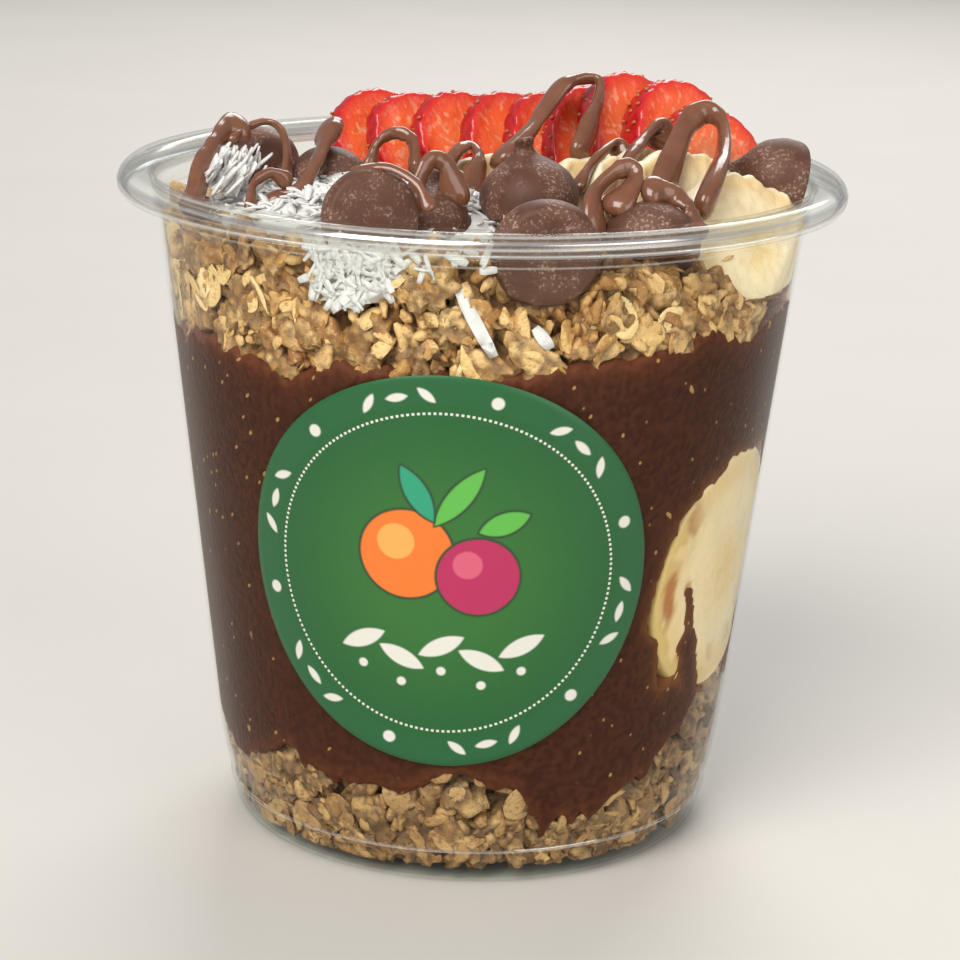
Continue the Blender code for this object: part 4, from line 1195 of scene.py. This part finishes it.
seed_coat = Finish("strawberry_seed", Roughness=0.3, Specular_IOR_Level=0.6)
seed_coat.show(Base_Color=seed_coat.mix(seed_coat.grain(1.5), (0.55, 0.2, 0.05), (0.42, 0.1, 0.03)))
seeds = Heap()
seed_shape, seed_faces = ball(2)
BERRY_STEPS = 116
PITS = 22
berry_rows = [(k / 22 * 0.93, 1.0, 0.0) for k in range(23)]
berry_rows += [(0.965, 0.985, 0.3), (0.99, 0.93, 0.8), (1.01, 0.82, 1.0), (1.025, 0.68, 1.0), (1.03, 0.5, 1.0)]
berry_rows += [(1.025, 0.32, 1.0), (1.01, 0.18, 1.0), (0.99, 0.07, 0.8), (0.93, 0.0, 0.2), (0.5, 0.0, 0.0)]
for number, (centre, width, length, slant) in enumerate(BERRIES):
    axes = frame_of(BERRY_LEAN, -slant)
    thick_here = BERRY_DEEP if number > 5 else BERRY_THICK
    points, reaches, skins, dimples, vein_x, vein_y = [], [], [], [], [], []
    for share, depth, skin in berry_rows:
        for k in range(BERRY_STEPS):
            turn = 2 * math.pi * k / BERRY_STEPS
            pit = math.cos(turn * PITS + 2.2 * math.sin(depth * 7 + number)) * math.sin(depth * math.pi)
            around = Vector((math.cos(turn) * 1.6, math.sin(turn) * 1.6, number * 3.0))
            swell = 1 + 0.045 * noise.noise(around) * share + 0.016 * noise.noise(around * 5) * share ** 3
            swell -= 0.02 * max(0.0, pit) * skin
            scallop = 1 - 0.02 * share ** 6 * max(0.0, math.cos(turn * PITS + number))
            x = width / 2 * share * math.cos(turn) * (1 + 0.32 * math.sin(turn)) * swell * scallop
            y = length / 2 * share * math.sin(turn) * swell * scallop
            dip = rough_at(x / 3, y / 3, number * 2.0)
            side = 1 if depth > 0.5 else -1
            z = BERRY_THICK / 2 - (1 - depth) * thick_here + (0.28 * dip - 0.25 * (1 - share)) * side
            points.append((x, y, z))
            reaches.append(share)
            skins.append(skin)
            dimples.append(max(0.0, pit) * skin)
            vein_x.append(math.cos(turn) * 9 * (0.25 + 0.75 * share) + number * 7)
            vein_y.append(math.sin(turn) * 9 * (0.25 + 0.75 * share))
    faces = ring_faces(len(berry_rows), BERRY_STEPS, flipped=True, tip=True)
    placed = np.array(points) @ axes.T + centre
    berry = make_piece(
        f"berry_slice_{number + 1}", placed, faces, cut.material, "strawberry",
        reach=reaches, skin=skins, dimple=dimples, vein_x=vein_x, vein_y=vein_y,
    )
    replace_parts(berry, f"strawberry_slice_{number + 1}")
    for row_depth in (0.22, 0.5, 0.78):
        for k in range(PITS):
            if number < 5 and (k + number) % 3:
                continue
            turn = (2 * math.pi * k - 2.2 * math.sin(row_depth * 7 + number)) / PITS
            x = width / 2 * math.cos(turn) * (1 + 0.32 * math.sin(turn)) * 1.005
            y = length / 2 * math.sin(turn) * 1.005
            seed = seed_shape * (0.42, 0.24, 0.26)
            across_skin = about(turn, "Z") @ about(math.pi / 2, "Y")
            place = np.array((x, y, BERRY_THICK / 2 - (1 - row_depth) * thick_here))
            seeds.add(((seed @ np.array(across_skin).T) + place) @ axes.T + centre, seed_faces)
berry_seeds = seeds.make("berry_seeds", seed_coat, "strawberry")
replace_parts(berry_seeds, *[f"strawberry_slice_{k + 1}" for k in range(9)])


# ---------------------------------------------------------------- the drizzle
# Hazelnut chocolate spread piped over the top in thick, glossy strands that loop up from the drops, the
# banana and the coconut and sink back on them, fuller where they start and land.

STRANDS = {
    "coconut": [
        (1.6, [
            (-37, -20.5, 88.6), (-37, -20, 89.5), (-36.5, -16, 92.5), (-35.5, -12, 94.5), (-34.5, -8, 96),
            (-33, -6, 96.3),
        ]),
        (0.9, [
            (-33.5, -8, 95), (-31.5, -5, 96.3), (-29, -4, 97), (-27, -5, 96), (-26, -8, 93), (-26, -10.5, 90),
        ]),
        (1.5, [(-20.5, -6, 96.3), (-21, -9.5, 95), (-22.5, -14.5, 92), (-24, -17, 90), (-27, -19, 88.7)]),
        (0.8, [(-29.5, -22, 88.5), (-29.5, -20, 91.2), (-27.5, -18.5, 92.5), (-25.5, -17.5, 91.5)]),
        (1.0, [(-15.4, 6, 89.6), (-14.8, 7.2, 92.4), (-12.4, 8, 94), (-9.9, 7, 93.2), (-9.4, 4.5, 90)]),
    ],
    "drop_front_left": [
        (0.6, [(-15.5, -33.5, 95.5), (-13.5, -33, 96.2), (-11, -33.5, 96), (-8, -35, 94.5), (-6.5, -36.5, 92)]),
    ],
    "drop_left_mid": [
        (1.3, [(-8.5, -28.5, 90.5), (-8, -27.5, 93.5), (-6.5, -26, 96), (-4.5, -25, 95), (-3.5, -25, 91)]),
    ],
    "banana_slice_1": [
        (1.3, [
            (-3.4, -5.5, 89.2), (-4.5, -3.5, 91), (-3.5, -1, 93.2), (-1.5, 0, 93.8), (-0.5, -2, 92),
            (-1.5, -6, 89),
        ]),
        (1.4, [
            (2.5, -2, 92.5), (6, 2, 95.5), (8, 5, 98), (10.5, 8, 101), (13, 9, 102), (15.5, 9, 101.8),
            (15.5, 6.5, 99.5), (14.5, 3, 97), (13, 0, 93.5),
        ]),
    ],
    "banana_slice_2": [
        (1.1, [(12.5, -12, 90.6), (15, -8, 93.8), (17.5, -5, 95.5), (18.5, -4.6, 94)]),
    ],
    "banana_slice_3": [
        (1.5, [(15.5, -15.5, 89.5), (18.5, -11.5, 93), (20.5, -7, 95.5), (23, -3, 97.5), (23.5, -2, 96)]),
    ],
    "banana_slice_4": [
        (1.5, [
            (23, -16, 90), (25, -11, 95), (27, -6, 98.5), (29.5, -4, 99.8), (31.5, -5.5, 98.8), (31.5, -11, 96),
            (30, -18, 93.5), (28.5, -22, 90.5),
        ]),
    ],
    "drop_front_right": [
        (1.4, [
            (14, -33, 89.5), (14, -31, 93), (16.5, -29, 95.5), (18.5, -28, 96), (19, -29, 94.5),
            (17, -31.5, 92),
        ]),
        (1.4, [(21.5, -30, 93.5), (24, -29.5, 93), (26, -30, 91.5), (26.5, -31, 89)]),
    ],
}

spread = Finish("hazelnut_spread", Specular_IOR_Level=0.55, Coat_Weight=0.35, Coat_Roughness=0.06)
swirl = spread.grain(3.0, 2.0)
spread.show(
    Base_Color=spread.mix(swirl, (0.125, 0.044, 0.02), (0.235, 0.095, 0.048)),
    Roughness=0.13 + 0.14 * spread.grain(1.6, 2.0), Normal=spread.bump(spread.grain(1.8, 1.0), 0.08),
)


def curve_through(points, per_span):
    """A smooth row of points through given ones."""
    rows = [np.array(p, float) for p in points]
    rows = [rows[0] * 2 - rows[1]] + rows + [rows[-1] * 2 - rows[-2]]
    made = []
    for a, b, c, d in zip(rows, rows[1:], rows[2:], rows[3:]):
        for t in np.arange(per_span) / per_span:
            bend = (2 * a - 5 * b + 4 * c - d) * t * t + (3 * b - a - 3 * c + d) * t ** 3
            made.append(0.5 * (2 * b + (c - a) * t + bend))
    return np.array(made + [rows[-2]])


def poured(points, radius, seed, sides=20):
    """A strand of spread: a tube that swells and thins, with a rounded bead at each end."""
    route = curve_through(points, 9)
    run = np.gradient(route, axis=0)
    run /= np.linalg.norm(run, axis=1)[:, None]
    side = Vector(run[0]).orthogonal().normalized()
    count = len(route)
    rings = []
    for k in range(count):
        forward = Vector(run[k])
        side = (side - forward * side.dot(forward)).normalized()
        over = forward.cross(side)
        share = k / (count - 1)
        swell = 0.3 * rough_at(share * 4, seed, 0) + 0.1 * rough_at(share * 14, seed, 3)
        full = radius * (0.76 + swell + 0.5 * math.exp(-((min(share, 1 - share) / 0.15) ** 2)))
        roll = 1.3 * rough_at(share * 2.2, seed, 7)
        wide = np.array(side) * math.cos(roll) + np.array(over) * math.sin(roll)
        deep = np.array(over) * math.cos(roll) - np.array(side) * math.sin(roll)
        turns = np.arange(sides) * 2 * math.pi / sides
        ring = [full * (1.25 * math.cos(t) * wide + 0.75 * math.sin(t) * deep) for t in turns]
        rings.append((route[k], ring, np.array(forward), full))
    points = []
    for tip, sign in ((0, -1), (-1, 1)):
        centre, ring, forward, full = rings[tip]
        cap = [
            [centre + sign * forward * full * math.sin(a) + spoke * math.cos(a) for spoke in ring]
            for a in (1.45, 1.1, 0.75, 0.35)
        ]
        body = [[centre + spoke for spoke in ring] for centre, ring, _, _ in rings] if tip == 0 else []
        points += cap + body if tip == 0 else list(reversed(cap))
    return np.array(points).reshape(-1, 3), ring_faces(len(points), sides, foot=True, tip=True)


drizzle = Heap()
for host, strands in STRANDS.items():
    for number, (radius, points) in enumerate(strands):
        drizzle.add(*poured(points, radius, len(host) + number * 3))
strands_piece = drizzle.make("hazelnut_drizzle", spread, "drizzle")
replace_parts(strands_piece, *STRANDS)


# ---------------------------------------------------------------- the table and the light
# A plain pale table top, a broad soft lamp above the left, a weaker one at the right, one behind for the rim,
# and an even pale room.

bpy.context.scene.view_settings.view_transform = "Standard"
table_finish = Finish("pale_table", Roughness=0.6)
table_finish.show(Base_Color=table_finish.mix(table_finish.grain(60), (0.6, 0.58, 0.54), (0.64, 0.62, 0.58)))
table_mesh = bpy.data.meshes.new("table_top")
table_mesh.from_pydata([(-3, -2, 0), (3, -2, 0), (3, 4, 0), (-3, 4, 0)], [], [(0, 1, 2, 3)])
table_mesh.materials.append(table_finish.material)
table_top = bpy.data.objects.new("table_top", table_mesh)
bpy.context.scene.collection.objects.link(table_top)

for name, place, size, power, colour in (
    ("key_lamp", (-0.45, -0.85, 0.85), 0.8, 16, (1.0, 0.97, 0.93)),
    ("fill_lamp", (0.75, -0.8, 0.35), 0.8, 4.5, (1.0, 0.97, 0.93)),
    ("rim_lamp", (0.15, 0.9, 0.75), 0.7, 7, (1.0, 0.98, 0.95)),
):
    lamp = bpy.data.lights.new(name, "AREA")
    lamp.size = size
    lamp.energy = power
    lamp.color = colour
    holder = bpy.data.objects.new(name, lamp)
    holder.location = place
    holder.rotation_euler = (Vector((0, 0, 0.06)) - Vector(place)).to_track_quat("-Z", "Y").to_euler()
    bpy.context.scene.collection.objects.link(holder)
world = bpy.data.worlds.new("room")
world.use_nodes = True
world.node_tree.nodes["Background"].inputs["Color"].default_value = (0.95, 0.96, 1.0, 1)
world.node_tree.nodes["Background"].inputs["Strength"].default_value = 0.36
bpy.context.scene.world = world
